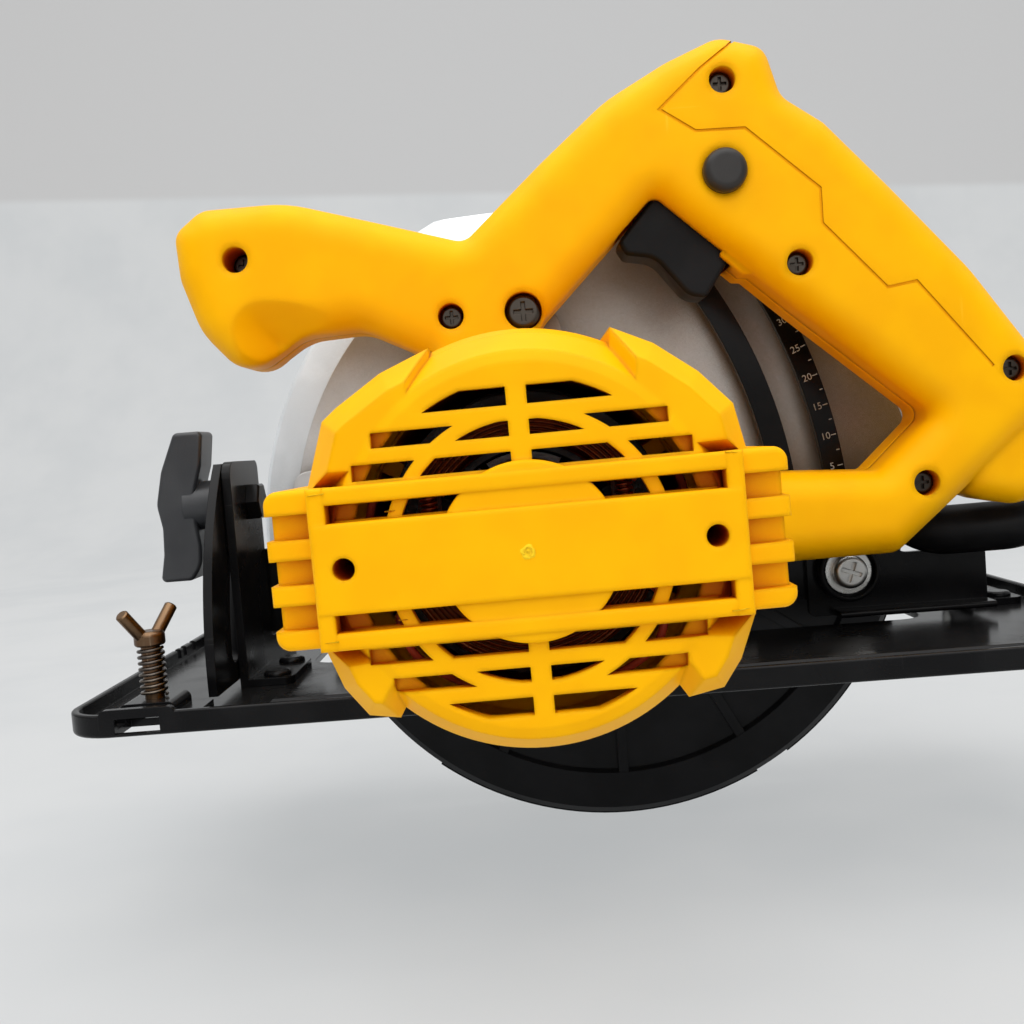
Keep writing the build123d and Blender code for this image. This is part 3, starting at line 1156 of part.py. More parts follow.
nodes = {
    "base_plate": base_plate() + stiffening_beads(),
    "bevel_bracket": bevel_bracket(),
    "rear_ear": rear_ear(),
    "base_rivets": base_rivets(),
    "fence_strap": fence_strap(),
    "fence_screw": fence_screw(),
    "fence_spring": fence_spring(),
    "bevel_bolt": bevel_bolt(),
    "bevel_pins": bevel_pins(),
    "bevel_knob": bevel_knob(),
    "tilt_quadrant": tilt_quadrant(),
    "depth_pin": depth_pin(),
    "depth_guide": depth_guide(),
    "rear_bracket": rear_bracket(),
    "guide_cup": guide_cup(),
    "guide_screw": guide_screw(),
    "guide_nut": guide_nut(),
    "gear_case": gear_case(),
    "gear_case_screws": gear_case_screws(),
    "upper_guard": upper_guard(),
    "dust_chute": dust_chute(),
    "motor_housing": motor_housing(),
    "end_cap": end_cap(),
    "cap_screws": cap_screws(),
    "stator": stator(),
    "field_coils": field_coils(),
    "brush_holders": mirrored(brush_holder),
    "brushes": mirrored(brush),
    "brush_springs": mirrored(brush_spring),
    "bearing_cap": bearing(motor_x, motor_z, *cap_bearing),
    "bearing_motor": bearing(motor_x, motor_z, *motor_bearing),
    "bearing_tail": bearing(0, arbor_z, *tail_bearing),
    "bearing_nose": bearing(0, arbor_z, *nose_bearing),
    "handle_shell_near": handle_shell(True),
    "handle_shell_far": handle_shell(False),
    "handle_screws": handle_screw_set(),
    "switch_body": switch_body(),
    "cord_gland": cord_gland(),
    "depth_bolt": depth_bolt(),
    "depth_lever": depth_lever(),
    "trigger": trigger(),
    "lock_button": lock_button(),
    "armature_shaft": armature_shaft(),
    "armature_core": armature_core(),
    "armature_windings": armature_windings(),
    "commutator": commutator(),
    "fan": fan(),
    "spindle": spindle(),
    "drive_gear": drive_gear(),
    "inner_flange": inner_flange(),
    "outer_flange": outer_flange(),
    "blade_bolt": blade_bolt(),
    "blade": blade(),
    "lower_guard": lower_guard(),
    "guard_lever": guard_lever(),
    "guard_spring": guard_spring(),
}

os.makedirs("parts", exist_ok=True)
for name, shape in nodes.items():
    solids = shape if isinstance(shape, list) else [shape]
    export_step(Compound(label=name, children=[s for piece in solids for s in piece.solids()]),
                f"parts/{name}.step")
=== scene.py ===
import bpy
import json
import random
from math import cos, pi, radians, sin
from mathutils import Matrix, Vector


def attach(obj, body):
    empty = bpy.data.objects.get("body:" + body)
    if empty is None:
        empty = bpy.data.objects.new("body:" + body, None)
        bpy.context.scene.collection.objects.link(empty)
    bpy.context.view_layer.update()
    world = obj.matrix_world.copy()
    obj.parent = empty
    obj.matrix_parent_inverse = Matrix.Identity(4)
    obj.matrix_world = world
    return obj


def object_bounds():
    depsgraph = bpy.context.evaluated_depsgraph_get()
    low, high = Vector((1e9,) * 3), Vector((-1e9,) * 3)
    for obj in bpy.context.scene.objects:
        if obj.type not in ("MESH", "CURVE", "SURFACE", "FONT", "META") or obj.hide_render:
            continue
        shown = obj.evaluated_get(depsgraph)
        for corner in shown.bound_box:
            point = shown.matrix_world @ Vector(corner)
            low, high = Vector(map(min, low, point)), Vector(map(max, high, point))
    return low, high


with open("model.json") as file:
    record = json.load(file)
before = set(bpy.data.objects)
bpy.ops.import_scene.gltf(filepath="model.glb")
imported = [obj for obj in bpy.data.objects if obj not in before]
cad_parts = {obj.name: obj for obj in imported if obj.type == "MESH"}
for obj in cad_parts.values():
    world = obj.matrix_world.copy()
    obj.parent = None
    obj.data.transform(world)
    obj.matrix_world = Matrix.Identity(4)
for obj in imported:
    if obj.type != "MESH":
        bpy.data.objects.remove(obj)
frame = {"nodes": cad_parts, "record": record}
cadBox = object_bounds()
nodes = frame["nodes"]
print("frame loaded:", len(nodes), "nodes")

cameraView = {
    "place": (-0.0244, -0.322, 0.0653),
    "lookAlong": (-0.01643, 0.998135, -0.058786),
    "rollDegrees": 4.4922,
    "lens": 38.67,
    "sensor": 36.0,
    "nearest": 0.01,
}


def placeCamera(view):
    ahead = Vector(view["lookAlong"]).normalized()
    level = ahead.cross(Vector((0, 0, 1))).normalized()
    right = Matrix.Rotation(radians(view["rollDegrees"]), 3, ahead) @ level
    up = right.cross(ahead)
    camera = bpy.data.objects.new("camera", bpy.data.cameras.new("camera"))
    camera.matrix_world = Matrix((right, up, -ahead)).transposed().to_4x4()
    camera.location = view["place"]
    camera.data.lens = view["lens"]
    camera.data.sensor_width = view["sensor"]
    camera.data.clip_start = view["nearest"]
    bpy.context.scene.collection.objects.link(camera)
    bpy.context.scene.camera = camera


def meshFrom(name, points, faces, smooth=False):
    mesh = bpy.data.meshes.new(name)
    mesh.from_pydata(points, [], faces)
    for face in mesh.polygons:
        face.use_smooth = smooth
    return mesh


def newGroup(name, inputs, outputs):
    group = bpy.data.node_groups.new(name, "ShaderNodeTree")
    for label, kind, value in inputs:
        socket = group.interface.new_socket(label, in_out="INPUT", socket_type=kind)
        socket.default_value = value
    for label, kind in outputs:
        group.interface.new_socket(label, in_out="OUTPUT", socket_type=kind)
    return group, group.nodes.new("NodeGroupInput"), group.nodes.new("NodeGroupOutput")


def mathNode(tree, operation, first, second=None, clamp=False):
    node = tree.nodes.new("ShaderNodeMath")
    node.operation = operation
    node.use_clamp = clamp
    for i, value in enumerate((first, second)):
        if value is None:
            continue
        if isinstance(value, (int, float)):
            node.inputs[i].default_value = value
        else:
            tree.links.new(value, node.inputs[i])
    return node.outputs[0]


def coordinates(tree):
    return tree.nodes.new("ShaderNodeTexCoord").outputs["Object"]


def noiseNode(tree, vector, scale, detail=2.0, roughness=0.5):
    node = tree.nodes.new("ShaderNodeTexNoise")
    node.inputs["Detail"].default_value = detail
    node.inputs["Roughness"].default_value = roughness
    if isinstance(scale, (int, float)):
        node.inputs["Scale"].default_value = scale
    else:
        tree.links.new(scale, node.inputs["Scale"])
    tree.links.new(vector, node.inputs["Vector"])
    return node.outputs["Fac"]


def stepNode(tree, value, low, high, outLow=0.0, outHigh=1.0):
    node = tree.nodes.new("ShaderNodeMapRange")
    node.interpolation_type = "SMOOTHSTEP"
    for label, setting in (("From Min", low), ("From Max", high), ("To Min", outLow), ("To Max", outHigh)):
        if isinstance(setting, (int, float)):
            node.inputs[label].default_value = setting
        else:
            tree.links.new(setting, node.inputs[label])
    tree.links.new(value, node.inputs["Value"])
    return node.outputs["Result"]


def mixColour(tree, factor, first, second, blend="MIX"):
    node = tree.nodes.new("ShaderNodeMix")
    node.data_type = "RGBA"
    node.blend_type = blend
    for label, value in (("Factor", factor), ("A", first), ("B", second)):
        socket = [i for i in node.inputs if i.name == label and (label == "Factor" or i.type == "RGBA")][0]
        if isinstance(value, (int, float, tuple)):
            socket.default_value = value
        else:
            tree.links.new(value, socket)
    return [o for o in node.outputs if o.type == "RGBA"][0]


stageValues = {
    "floorGap": 0.0003,
    "frontEdge": -3.0,
    "wallDistance": 1.6,
    "wallHeight": 2.6,
    "halfWidth": 3.2,
    "bend": 0.5,                    # radius of the curve between floor and wall
    "bendSteps": 12,
    "clothColour": (0.63, 0.645, 0.65, 1.0),
    "clothShade": (0.58, 0.60, 0.61, 1.0),
    "wallColour": (0.53, 0.53, 0.53, 1.0),
    "rough": 0.95,
    "specular": 0.1,
    "ownGlow": 0.755,               # share of the backdrop's tone that doesn't take the shadow
    "shadowTone": 0.17,
    "wallStart": 0.50,              # height at which the cloth ends, and how much it slopes
    "wallSlope": 0.063,
    "wallSoftness": 0.008,
    "folds": 7.0,
    "weave": 900.0,
    "weaveShare": 0.12,
    "foldDepth": 0.004,
    "foldStrength": 0.25,
}


def backdropMaterial(values):
    material = bpy.data.materials.new("cloth backdrop")
    material.use_nodes = True
    tree = material.node_tree
    shader = tree.nodes["Principled BSDF"]
    shader.inputs["Roughness"].default_value = values["rough"]
    shader.inputs["Specular IOR Level"].default_value = values["specular"]
    place = coordinates(tree)
    split = tree.nodes.new("ShaderNodeSeparateXYZ")
    tree.links.new(place, split.inputs[0])
    slope = mathNode(tree, "MULTIPLY", split.outputs["X"], values["wallSlope"])
    lift = mathNode(tree, "ADD", split.outputs["Z"], slope)
    start, soften = values["wallStart"], values["wallSoftness"]
    wall = stepNode(tree, lift, start - soften, start + soften)
    soft = noiseNode(tree, place, values["folds"], 3.0, 0.6)
    cloth = mixColour(tree, stepNode(tree, soft, 0.35, 0.7), values["clothColour"], values["clothShade"])
    fibres = noiseNode(tree, place, values["weave"], 2.0, 0.6)
    fibres = stepNode(tree, fibres, 0.62, 0.80, 0.0, values["weaveShare"])
    cloth = mixColour(tree, fibres, cloth, values["wallColour"])
    cloth = mixColour(tree, wall, cloth, values["wallColour"])
    # seen directly or in a mirror the backdrop glows a little, so that the shadow on it stays faint
    path = tree.nodes.new("ShaderNodeLightPath")
    seen = mathNode(tree, "MAXIMUM", path.outputs["Is Camera Ray"], path.outputs["Is Glossy Ray"])
    seen = mathNode(tree, "MAXIMUM", seen, path.outputs["Is Transmission Ray"])
    faint = (values["shadowTone"],) * 3 + (1.0,)
    tree.links.new(mixColour(tree, seen, cloth, faint), shader.inputs["Base Color"])
    tree.links.new(cloth, shader.inputs["Emission Color"])
    glow = mathNode(tree, "MULTIPLY", seen, values["ownGlow"])
    tree.links.new(glow, shader.inputs["Emission Strength"])
    bump = tree.nodes.new("ShaderNodeBump")
    bump.inputs["Strength"].default_value = values["foldStrength"]
    bump.inputs["Distance"].default_value = values["foldDepth"]
    tree.links.new(soft, bump.inputs["Height"])
    tree.links.new(bump.outputs["Normal"], shader.inputs["Normal"])
    return material


def buildStage(values):
    floorZ = cadBox[0][2] - values["floorGap"]
    wallY, bend = values["wallDistance"], values["bend"]
    profile = [(values["frontEdge"], floorZ), (wallY - bend, floorZ)]
    for i in range(1, values["bendSteps"]):
        turn = pi / 2 * i / values["bendSteps"]
        profile.append((wallY - bend * (1 - sin(turn)), floorZ + bend * (1 - cos(turn))))
    profile += [(wallY, floorZ + bend), (wallY, floorZ + values["wallHeight"])]
    half = values["halfWidth"]
    points = [(x, y, z) for y, z in profile for x in (-half, half)]
    faces = [(2 * i, 2 * i + 1, 2 * i + 3, 2 * i + 2) for i in range(len(profile) - 1)]
    backdrop = bpy.data.objects.new("backdrop", meshFrom("backdrop", points, faces, smooth=True))
    bpy.context.scene.collection.objects.link(backdrop)
    backdrop.data.materials.append(backdropMaterial(values))


lampValues = {
    "top": {"place": (-0.10, -0.25, 1.30), "aim": (0, -0.02, 0.03), "size": 1.8, "power": 19.0},
    "front": {"place": (0.1, -1.7, 0.9), "aim": (0, 0, 0.05), "size": 1.6, "power": 9.0},
}
worldValues = {"overhead": 0.95, "level": 0.30, "rise": 0.8}


def placeLamps():
    for name, values in lampValues.items():
        lamp = bpy.data.objects.new(name + " lamp", bpy.data.lights.new(name + " lamp", "AREA"))
        lamp.data.size = values["size"]
        lamp.data.energy = values["power"]
        lamp.location = values["place"]
        aim = Vector(values["aim"]) - Vector(values["place"])
        lamp.rotation_euler = aim.to_track_quat("-Z", "Y").to_euler()
        bpy.context.scene.collection.objects.link(lamp)


def softRoom(values):
    # a pale room, brightest overhead
    world = bpy.data.worlds.new("soft room")
    world.use_nodes = True
    tree = world.node_tree
    split = tree.nodes.new("ShaderNodeSeparateXYZ")
    tree.links.new(tree.nodes.new("ShaderNodeTexCoord").outputs["Generated"], split.inputs[0])
    up = stepNode(tree, split.outputs["Z"], 0.0, values["rise"], values["level"], values["overhead"])
    tree.links.new(up, tree.nodes["Background"].inputs["Strength"])
    tree.nodes["Background"].inputs["Color"].default_value = (1, 1, 1, 1)
    bpy.context.scene.world = world
    bpy.context.scene.view_settings.view_transform = "Standard"


placeCamera(cameraView)
buildStage(stageValues)
placeLamps()
softRoom(worldValues)
print("stage ready")


def makeSkin():
    # the fine sand-like skin that a mould or a casting leaves, with slower waves under it
    group, start, end = newGroup("mould skin", [("Scale", "NodeSocketFloat", 1500.0),
                                                ("Waves", "NodeSocketFloat", 60.0)],
                                 [("Height", "NodeSocketFloat"), ("Tone", "NodeSocketFloat")])
    place = coordinates(group)
    fine = noiseNode(group, place, start.outputs["Scale"], 3.0, 0.65)
    slow = noiseNode(group, place, start.outputs["Waves"], 2.0)
    height = mathNode(group, "ADD", fine, mathNode(group, "MULTIPLY", slow, 0.6))
    group.links.new(height, end.inputs["Height"])
    group.links.new(slow, end.inputs["Tone"])
    return group


def makeEdges():
    # softened edge normals, and a broken mask of where edges rub
    group, start, end = newGroup("edge rub", [("Radius", "NodeSocketFloat", 0.0005),
                                              ("Amount", "NodeSocketFloat", 0.5)],
                                 [("Normal", "NodeSocketVector"), ("Mask", "NodeSocketFloat")])
    bevel = group.nodes.new("ShaderNodeBevel")
    bevel.samples = 5
    group.links.new(start.outputs["Radius"], bevel.inputs["Radius"])
    surface = group.nodes.new("ShaderNodeNewGeometry")
    dot = group.nodes.new("ShaderNodeVectorMath")
    dot.operation = "DOT_PRODUCT"
    group.links.new(bevel.outputs["Normal"], dot.inputs[0])
    group.links.new(surface.outputs["Normal"], dot.inputs[1])
    bend = mathNode(group, "SUBTRACT", 1.0, dot.outputs["Value"])
    breakUp = noiseNode(group, coordinates(group), 420.0, 4.0, 0.7)
    limit = mathNode(group, "SUBTRACT", 1.0, start.outputs["Amount"])
    chipped = stepNode(group, breakUp, limit, mathNode(group, "ADD", limit, 0.12))
    mask = mathNode(group, "MULTIPLY", stepNode(group, bend, 0.02, 0.14), chipped, True)
    group.links.new(bevel.outputs["Normal"], end.inputs["Normal"])
    group.links.new(mask, end.inputs["Mask"])
    return group


def makeScuffs():
    # sparse hair scratches in two directions, and faint handling smears
    group, start, end = newGroup("handling marks", [("Density", "NodeSocketFloat", 0.5)],
                                 [("Scratches", "NodeSocketFloat"), ("Smears", "NodeSocketFloat")])
    place = coordinates(group)
    total = None
    for turn, stretch in (((0.3, 0.9, 0.2), (900.0, 60.0, 40.0)), ((1.2, 0.1, 0.8), (50.0, 70.0, 1100.0))):
        mapping = group.nodes.new("ShaderNodeMapping")
        mapping.inputs["Rotation"].default_value = turn
        mapping.inputs["Scale"].default_value = stretch
        group.links.new(place, mapping.inputs["Vector"])
        line = stepNode(group, noiseNode(group, mapping.outputs["Vector"], 1.0, 1.0), 0.70, 0.76)
        total = line if total is None else mathNode(group, "MAXIMUM", total, line)
    patch = noiseNode(group, place, 38.0, 2.0)
    limit = mathNode(group, "SUBTRACT", 1.0, start.outputs["Density"])
    patch = stepNode(group, patch, limit, mathNode(group, "ADD", limit, 0.15))
    group.links.new(mathNode(group, "MULTIPLY", total, patch), end.inputs["Scratches"])
    smears = stepNode(group, noiseNode(group, place, 24.0, 5.0, 0.6), 0.42, 0.72)
    group.links.new(smears, end.inputs["Smears"])
    return group


def makeDust():
    # pale dust that settles on faces that look up
    group, start, end = newGroup("settled dust", [("Amount", "NodeSocketFloat", 0.2)],
                                 [("Mask", "NodeSocketFloat")])
    surface = group.nodes.new("ShaderNodeNewGeometry")
    split = group.nodes.new("ShaderNodeSeparateXYZ")
    group.links.new(surface.outputs["Normal"], split.inputs[0])
    upward = stepNode(group, split.outputs["Z"], 0.35, 1.0)
    specks = stepNode(group, noiseNode(group, coordinates(group), 1900.0, 2.0, 0.8), 0.60, 0.72)
    cloud = noiseNode(group, coordinates(group), 45.0, 4.0, 0.6)
    settled = mathNode(group, "ADD", mathNode(group, "MULTIPLY", specks, 0.7),
                       mathNode(group, "MULTIPLY", cloud, 0.4))
    mask = mathNode(group, "MULTIPLY", settled, upward)
    group.links.new(mathNode(group, "MULTIPLY", mask, start.outputs["Amount"], True), end.inputs["Mask"])
    return group


def makeDepths():
    # painted shade: how far a place lies inside slots and corners, from ambient occlusion, from none at
    # Open to full at Shut; the colour laid by this mask stands in for the shade there
    group, start, end = newGroup("painted shade mask", [("Reach", "NodeSocketFloat", 0.01),
                                                 ("Shut", "NodeSocketFloat", 0.1),
                                                 ("Open", "NodeSocketFloat", 0.7)],
                                 [("Mask", "NodeSocketFloat")])
    shade = group.nodes.new("ShaderNodeAmbientOcclusion")
    shade.samples = 12
    group.links.new(start.outputs["Reach"], shade.inputs["Distance"])
    above = mathNode(group, "SUBTRACT", start.outputs["Open"], shade.outputs["AO"])
    span = mathNode(group, "SUBTRACT", start.outputs["Open"], start.outputs["Shut"])
    share = mathNode(group, "DIVIDE", above, span)
    group.links.new(stepNode(group, share, 0.0, 1.0), end.inputs["Mask"])
    return group


groups = {"skin": makeSkin(), "edges": makeEdges(), "scuffs": makeScuffs(), "dust": makeDust(),
          "paintedShade": makeDepths()}


def useGroup(tree, name, **values):
    node = tree.nodes.new("ShaderNodeGroup")
    node.node_tree = groups[name]
    for label, value in values.items():
        node.inputs[label].default_value = value
    return node.outputs


# grain is the scale of the skin, edge the radius that edges are softened by, rub and scuff how worn
finishes = {
    "yellow_plastic": {
        "colour": (0.93, 0.455, 0.0, 1), "tint": (0.90, 0.42, 0.0, 1), "rough": (0.40, 0.52),
        "grain": 1700.0, "bump": 0.10, "edge": 0.0005, "rub": 0.12, "rubColour": (0.97, 0.55, 0.02, 1),
        "scuff": 0.35, "scuffColour": (0.98, 0.55, 0.03, 1), "dust": 0.0, "specular": 0.07,
        # painted shade: deep red-brown laid inside the louvres and slots, standing in for the shaded inner
        # walls
        "paintedShadeColour": (0.50, 0.065, 0.0, 1), "paintedShadeReach": 0.012, "paintedShadeShut": 0.05, "paintedShadeOpen": 0.60,
    },
    "black_plastic": {
        "colour": (0.005, 0.005, 0.0055, 1), "tint": (0.009, 0.009, 0.010, 1), "rough": (0.36, 0.50),
        "grain": 1300.0, "bump": 0.16, "edge": 0.0004, "rub": 0.30, "rubColour": (0.06, 0.06, 0.062, 1),
        "scuff": 0.45, "scuffColour": (0.03, 0.03, 0.03, 1), "dust": 0.05, "specular": 0.13,
    },
    "grey_plastic": {
        "colour": (0.030, 0.028, 0.027, 1), "tint": (0.042, 0.040, 0.039, 1), "rough": (0.40, 0.55),
        "grain": 1500.0, "bump": 0.16, "edge": 0.0004, "rub": 0.30, "rubColour": (0.10, 0.10, 0.10, 1),
        "scuff": 0.45, "scuffColour": (0.10, 0.10, 0.10, 1), "dust": 0.08,
    },
    "brown_plastic": {
        "colour": (0.10, 0.035, 0.02, 1), "tint": (0.14, 0.05, 0.03, 1), "rough": (0.40, 0.6),
        "grain": 900.0, "bump": 0.2, "edge": 0.0003, "rub": 0.25, "rubColour": (0.22, 0.10, 0.06, 1),
        "scuff": 0.4, "scuffColour": (0.2, 0.1, 0.07, 1), "dust": 0.2,
    },
    "black_steel": {
        "colour": (0.003, 0.003, 0.0035, 1), "tint": (0.006, 0.006, 0.0065, 1), "rough": (0.18, 0.32),
        "grain": 380.0, "bump": 0.10, "edge": 0.0004, "rub": 0.20, "rubColour": (0.16, 0.16, 0.165, 1),
        "scuff": 0.42, "scuffColour": (0.04, 0.04, 0.04, 1), "dust": 0.04, "specular": 0.12,
        "coat": 0.03,
    },
    "cast_aluminium": {
        "colour": (0.88, 0.91, 0.93, 1), "tint": (0.80, 0.83, 0.85, 1), "rough": (0.34, 0.46),
        "grain": 1100.0, "bump": 0.16, "edge": 0.0006, "rub": 0.30, "rubColour": (0.8, 0.8, 0.8, 1),
        "scuff": 0.5, "scuffColour": (0.72, 0.72, 0.72, 1), "dust": 0.0, "metal": 0.45,
        # painted shade: dark brown-grey laid on the guard's face near the handle and motor, where shade
        # falls
        "paintedShadeColour": (0.16, 0.125, 0.09, 1), "paintedShadeReach": 0.060, "paintedShadeShut": 0.20, "paintedShadeOpen": 0.72,
    },
    "zinc_steel": {
        "colour": (0.64, 0.63, 0.60, 1), "tint": (0.52, 0.52, 0.50, 1), "rough": (0.22, 0.40),
        "grain": 900.0, "bump": 0.12, "edge": 0.0003, "rub": 0.35, "rubColour": (0.80, 0.79, 0.76, 1),
        "scuff": 0.5, "scuffColour": (0.4, 0.4, 0.38, 1), "dust": 0.0, "metal": 1.0,
    },
    "spring_steel": {
        "colour": (0.10, 0.085, 0.075, 1), "tint": (0.17, 0.14, 0.11, 1), "rough": (0.28, 0.45),
        "grain": 900.0, "bump": 0.1, "edge": 0.0001, "rub": 0.2, "rubColour": (0.5, 0.5, 0.48, 1),
        "scuff": 0.3, "scuffColour": (0.4, 0.36, 0.30, 1), "dust": 0.0, "metal": 1.0,
    },
    "bronze": {
        "colour": (0.12, 0.070, 0.042, 1), "tint": (0.18, 0.11, 0.06, 1), "rough": (0.32, 0.5),
        "grain": 800.0, "bump": 0.2, "edge": 0.0003, "rub": 0.4, "rubColour": (0.45, 0.33, 0.20, 1),
        "scuff": 0.5, "scuffColour": (0.4, 0.3, 0.2, 1), "dust": 0.0, "metal": 1.0,
    },
    "dark_screw": {
        "colour": (0.045, 0.038, 0.032, 1), "tint": (0.07, 0.06, 0.05, 1), "rough": (0.28, 0.42),
        "grain": 700.0, "bump": 0.14, "edge": 0.0003, "rub": 0.35, "rubColour": (0.25, 0.23, 0.20, 1),
        "scuff": 0.4, "scuffColour": (0.16, 0.15, 0.13, 1), "dust": 0.0, "metal": 1.0,
    },
    "carbon": {
        "colour": (0.02, 0.02, 0.02, 1), "tint": (0.04, 0.04, 0.04, 1), "rough": (0.5, 0.7),
        "grain": 1500.0, "bump": 0.2, "edge": 0.0002, "rub": 0.3, "rubColour": (0.1, 0.1, 0.1, 1),
        "scuff": 0.3, "scuffColour": (0.1, 0.1, 0.1, 1), "dust": 0.0,
    },
    "bearing_steel": {
        "colour": (0.60, 0.60, 0.60, 1), "tint": (0.5, 0.5, 0.5, 1), "rough": (0.18, 0.3),
        "grain": 600.0, "bump": 0.05, "edge": 0.0003, "rub": 0.3, "rubColour": (0.8, 0.8, 0.8, 1),
        "scuff": 0.4, "scuffColour": (0.4, 0.4, 0.4, 1), "dust": 0.0, "metal": 1.0,
    },
}


commonLook = {
    "dustColour": (0.50, 0.48, 0.44, 1),
    "scratchShare": 0.6,            # how far scratches show in the colour, and in the relief
    "scratchDepth": 0.5,
    "rubRoughness": 0.1,            # what rubbed edges add to the roughness
    "reliefDepth": 0.0002,
    "coatRoughness": 0.12,
    "ringRoughness": 0.07,
    "stackRelief": 0.6,
    "seamShare": 0.8,
    "seamRelief": 6.0,
}


def plainFinish(name, values):
    material = bpy.data.materials.new(name)
    material.use_nodes = True
    tree = material.node_tree
    shader = tree.nodes["Principled BSDF"]
    skin = useGroup(tree, "skin", Scale=values["grain"])
    edges = useGroup(tree, "edges", Radius=values["edge"], Amount=values["rub"])
    marks = useGroup(tree, "scuffs", Density=values["scuff"])
    colour = mixColour(tree, stepNode(tree, skin["Tone"], 0.35, 0.65), values["colour"], values["tint"])
    scratched = mathNode(tree, "MULTIPLY", marks["Scratches"], commonLook["scratchShare"])
    colour = mixColour(tree, scratched, colour, values["scuffColour"])
    colour = mixColour(tree, edges["Mask"], colour, values["rubColour"])
    if values["dust"]:
        dust = useGroup(tree, "dust", Amount=values["dust"])
        colour = mixColour(tree, dust["Mask"], colour, commonLook["dustColour"])
    # painted shade: a darker colour laid where ambient occlusion finds slots, corners and nearby parts,
    # standing in for the shade that falls there
    if "paintedShadeColour" in values:
        paintedShade = useGroup(tree, "paintedShade", Reach=values["paintedShadeReach"], Shut=values["paintedShadeShut"],
                          Open=values["paintedShadeOpen"])
        colour = mixColour(tree, paintedShade["Mask"], colour, values["paintedShadeColour"])
    tree.links.new(colour, shader.inputs["Base Color"])
    low, high = values["rough"]
    rough = stepNode(tree, marks["Smears"], 0.0, 1.0, low, high)
    rubbed = mathNode(tree, "MULTIPLY", edges["Mask"], commonLook["rubRoughness"])
    tree.links.new(mathNode(tree, "ADD", rough, rubbed, True), shader.inputs["Roughness"])
    bump = tree.nodes.new("ShaderNodeBump")
    bump.inputs["Strength"].default_value = values["bump"]
    bump.inputs["Distance"].default_value = commonLook["reliefDepth"]
    cuts = mathNode(tree, "MULTIPLY", marks["Scratches"], commonLook["scratchDepth"])
    tree.links.new(mathNode(tree, "SUBTRACT", skin["Height"], cuts), bump.inputs["Height"])
    tree.links.new(edges["Normal"], bump.inputs["Normal"])
    tree.links.new(bump.outputs["Normal"], shader.inputs["Normal"])
    shader.inputs["Metallic"].default_value = values.get("metal", 0.0)
    shader.inputs["Specular IOR Level"].default_value = values.get("specular", 0.5)
    shader.inputs["Coat Weight"].default_value = values.get("coat", 0.0)
    shader.inputs["Coat Roughness"].default_value = commonLook["coatRoughness"]
    return material


def layColour(tree, mask, colour):
    # lay a colour over the finish where the mask says
    socket = tree.nodes["Principled BSDF"].inputs["Base Color"]
    tree.links.new(mixColour(tree, mask, socket.links[0].from_socket, colour), socket)


def addRelief(tree, operation, amount):
    bump = tree.nodes["Principled BSDF"].inputs["Normal"].links[0].from_node
    height = mathNode(tree, operation, bump.inputs["Height"].links[0].from_socket, amount)
    tree.links.new(height, bump.inputs["Height"])
    return bump


def splitPlace(tree):
    split = tree.nodes.new("ShaderNodeSeparateXYZ")
    tree.links.new(coordinates(tree), split.inputs[0])
    return split.outputs


def ringDistance(tree, x, z):
    # distance from a line along Y through x, z
    place = splitPlace(tree)
    across = mathNode(tree, "SUBTRACT", place["X"], x)
    up = mathNode(tree, "SUBTRACT", place["Z"], z)
    squares = mathNode(tree, "ADD", mathNode(tree, "MULTIPLY", across, across),
                       mathNode(tree, "MULTIPLY", up, up))
    return mathNode(tree, "SQRT", squares)


def turnedFinish(name, values):
    # metal with the fine rings that grinding or turning leaves about an axis along Y
    material = plainFinish(name, values)
    tree = material.node_tree
    join = tree.nodes.new("ShaderNodeCombineXYZ")
    distance = ringDistance(tree, *values["centre"])
    tree.links.new(mathNode(tree, "MULTIPLY", distance, values["rings"]), join.inputs[0])
    rings = noiseNode(tree, join.outputs[0], 1.0, 3.0, 0.7)
    socket = tree.nodes["Principled BSDF"].inputs["Roughness"]
    swing = commonLook["ringRoughness"]
    swing = stepNode(tree, rings, 0.3, 0.7, -swing, swing)
    tree.links.new(mathNode(tree, "ADD", socket.links[0].from_socket, swing, True), socket)
    addRelief(tree, "ADD", mathNode(tree, "MULTIPLY", rings, values["ringDepth"]))
    return material


turned = {
    "blade_steel": dict(
        finishes["zinc_steel"],
        colour=(0.55, 0.55, 0.55, 1), tint=(0.47, 0.47, 0.48, 1), centre=(0.0, 0.039), rings=2600.0,
        ringDepth=0.9, rough=(0.24, 0.34),
    ),
}


def stackedFinish(name, values):
    # thin bands across Y, such as sheet laminations or wound wire
    material = plainFinish(name, values)
    tree = material.node_tree
    run = splitPlace(tree)["Y"]
    if values["about"]:
        around = ringDistance(tree, *values["about"])
        run = mathNode(tree, "ADD", run, mathNode(tree, "MULTIPLY", around, values["spiral"]))
    wave = mathNode(tree, "SINE", mathNode(tree, "MULTIPLY", run, 2 * pi / values["pitch"]))
    layColour(tree, stepNode(tree, wave, -1.0, -0.3, 1.0, 0.0), values["gapColour"])
    bump = addRelief(tree, "ADD", wave)
    bump.inputs["Strength"].default_value = commonLook["stackRelief"]
    return material


stacked = {
    "lamination": dict(
        finishes["zinc_steel"],
        colour=(0.13, 0.12, 0.115, 1), tint=(0.19, 0.18, 0.17, 1), about=None, pitch=0.0007,
        gapColour=(0.03, 0.028, 0.026, 1),
    ),
    "copper_wire": dict(
        finishes["zinc_steel"],
        colour=(0.36, 0.10, 0.04, 1), tint=(0.48, 0.16, 0.06, 1), about=(-0.025, 0.044),
        spiral=0.8, pitch=0.0009, gapColour=(0.20, 0.06, 0.02, 1), rubColour=(0.8, 0.45, 0.25, 1),
    ),
}

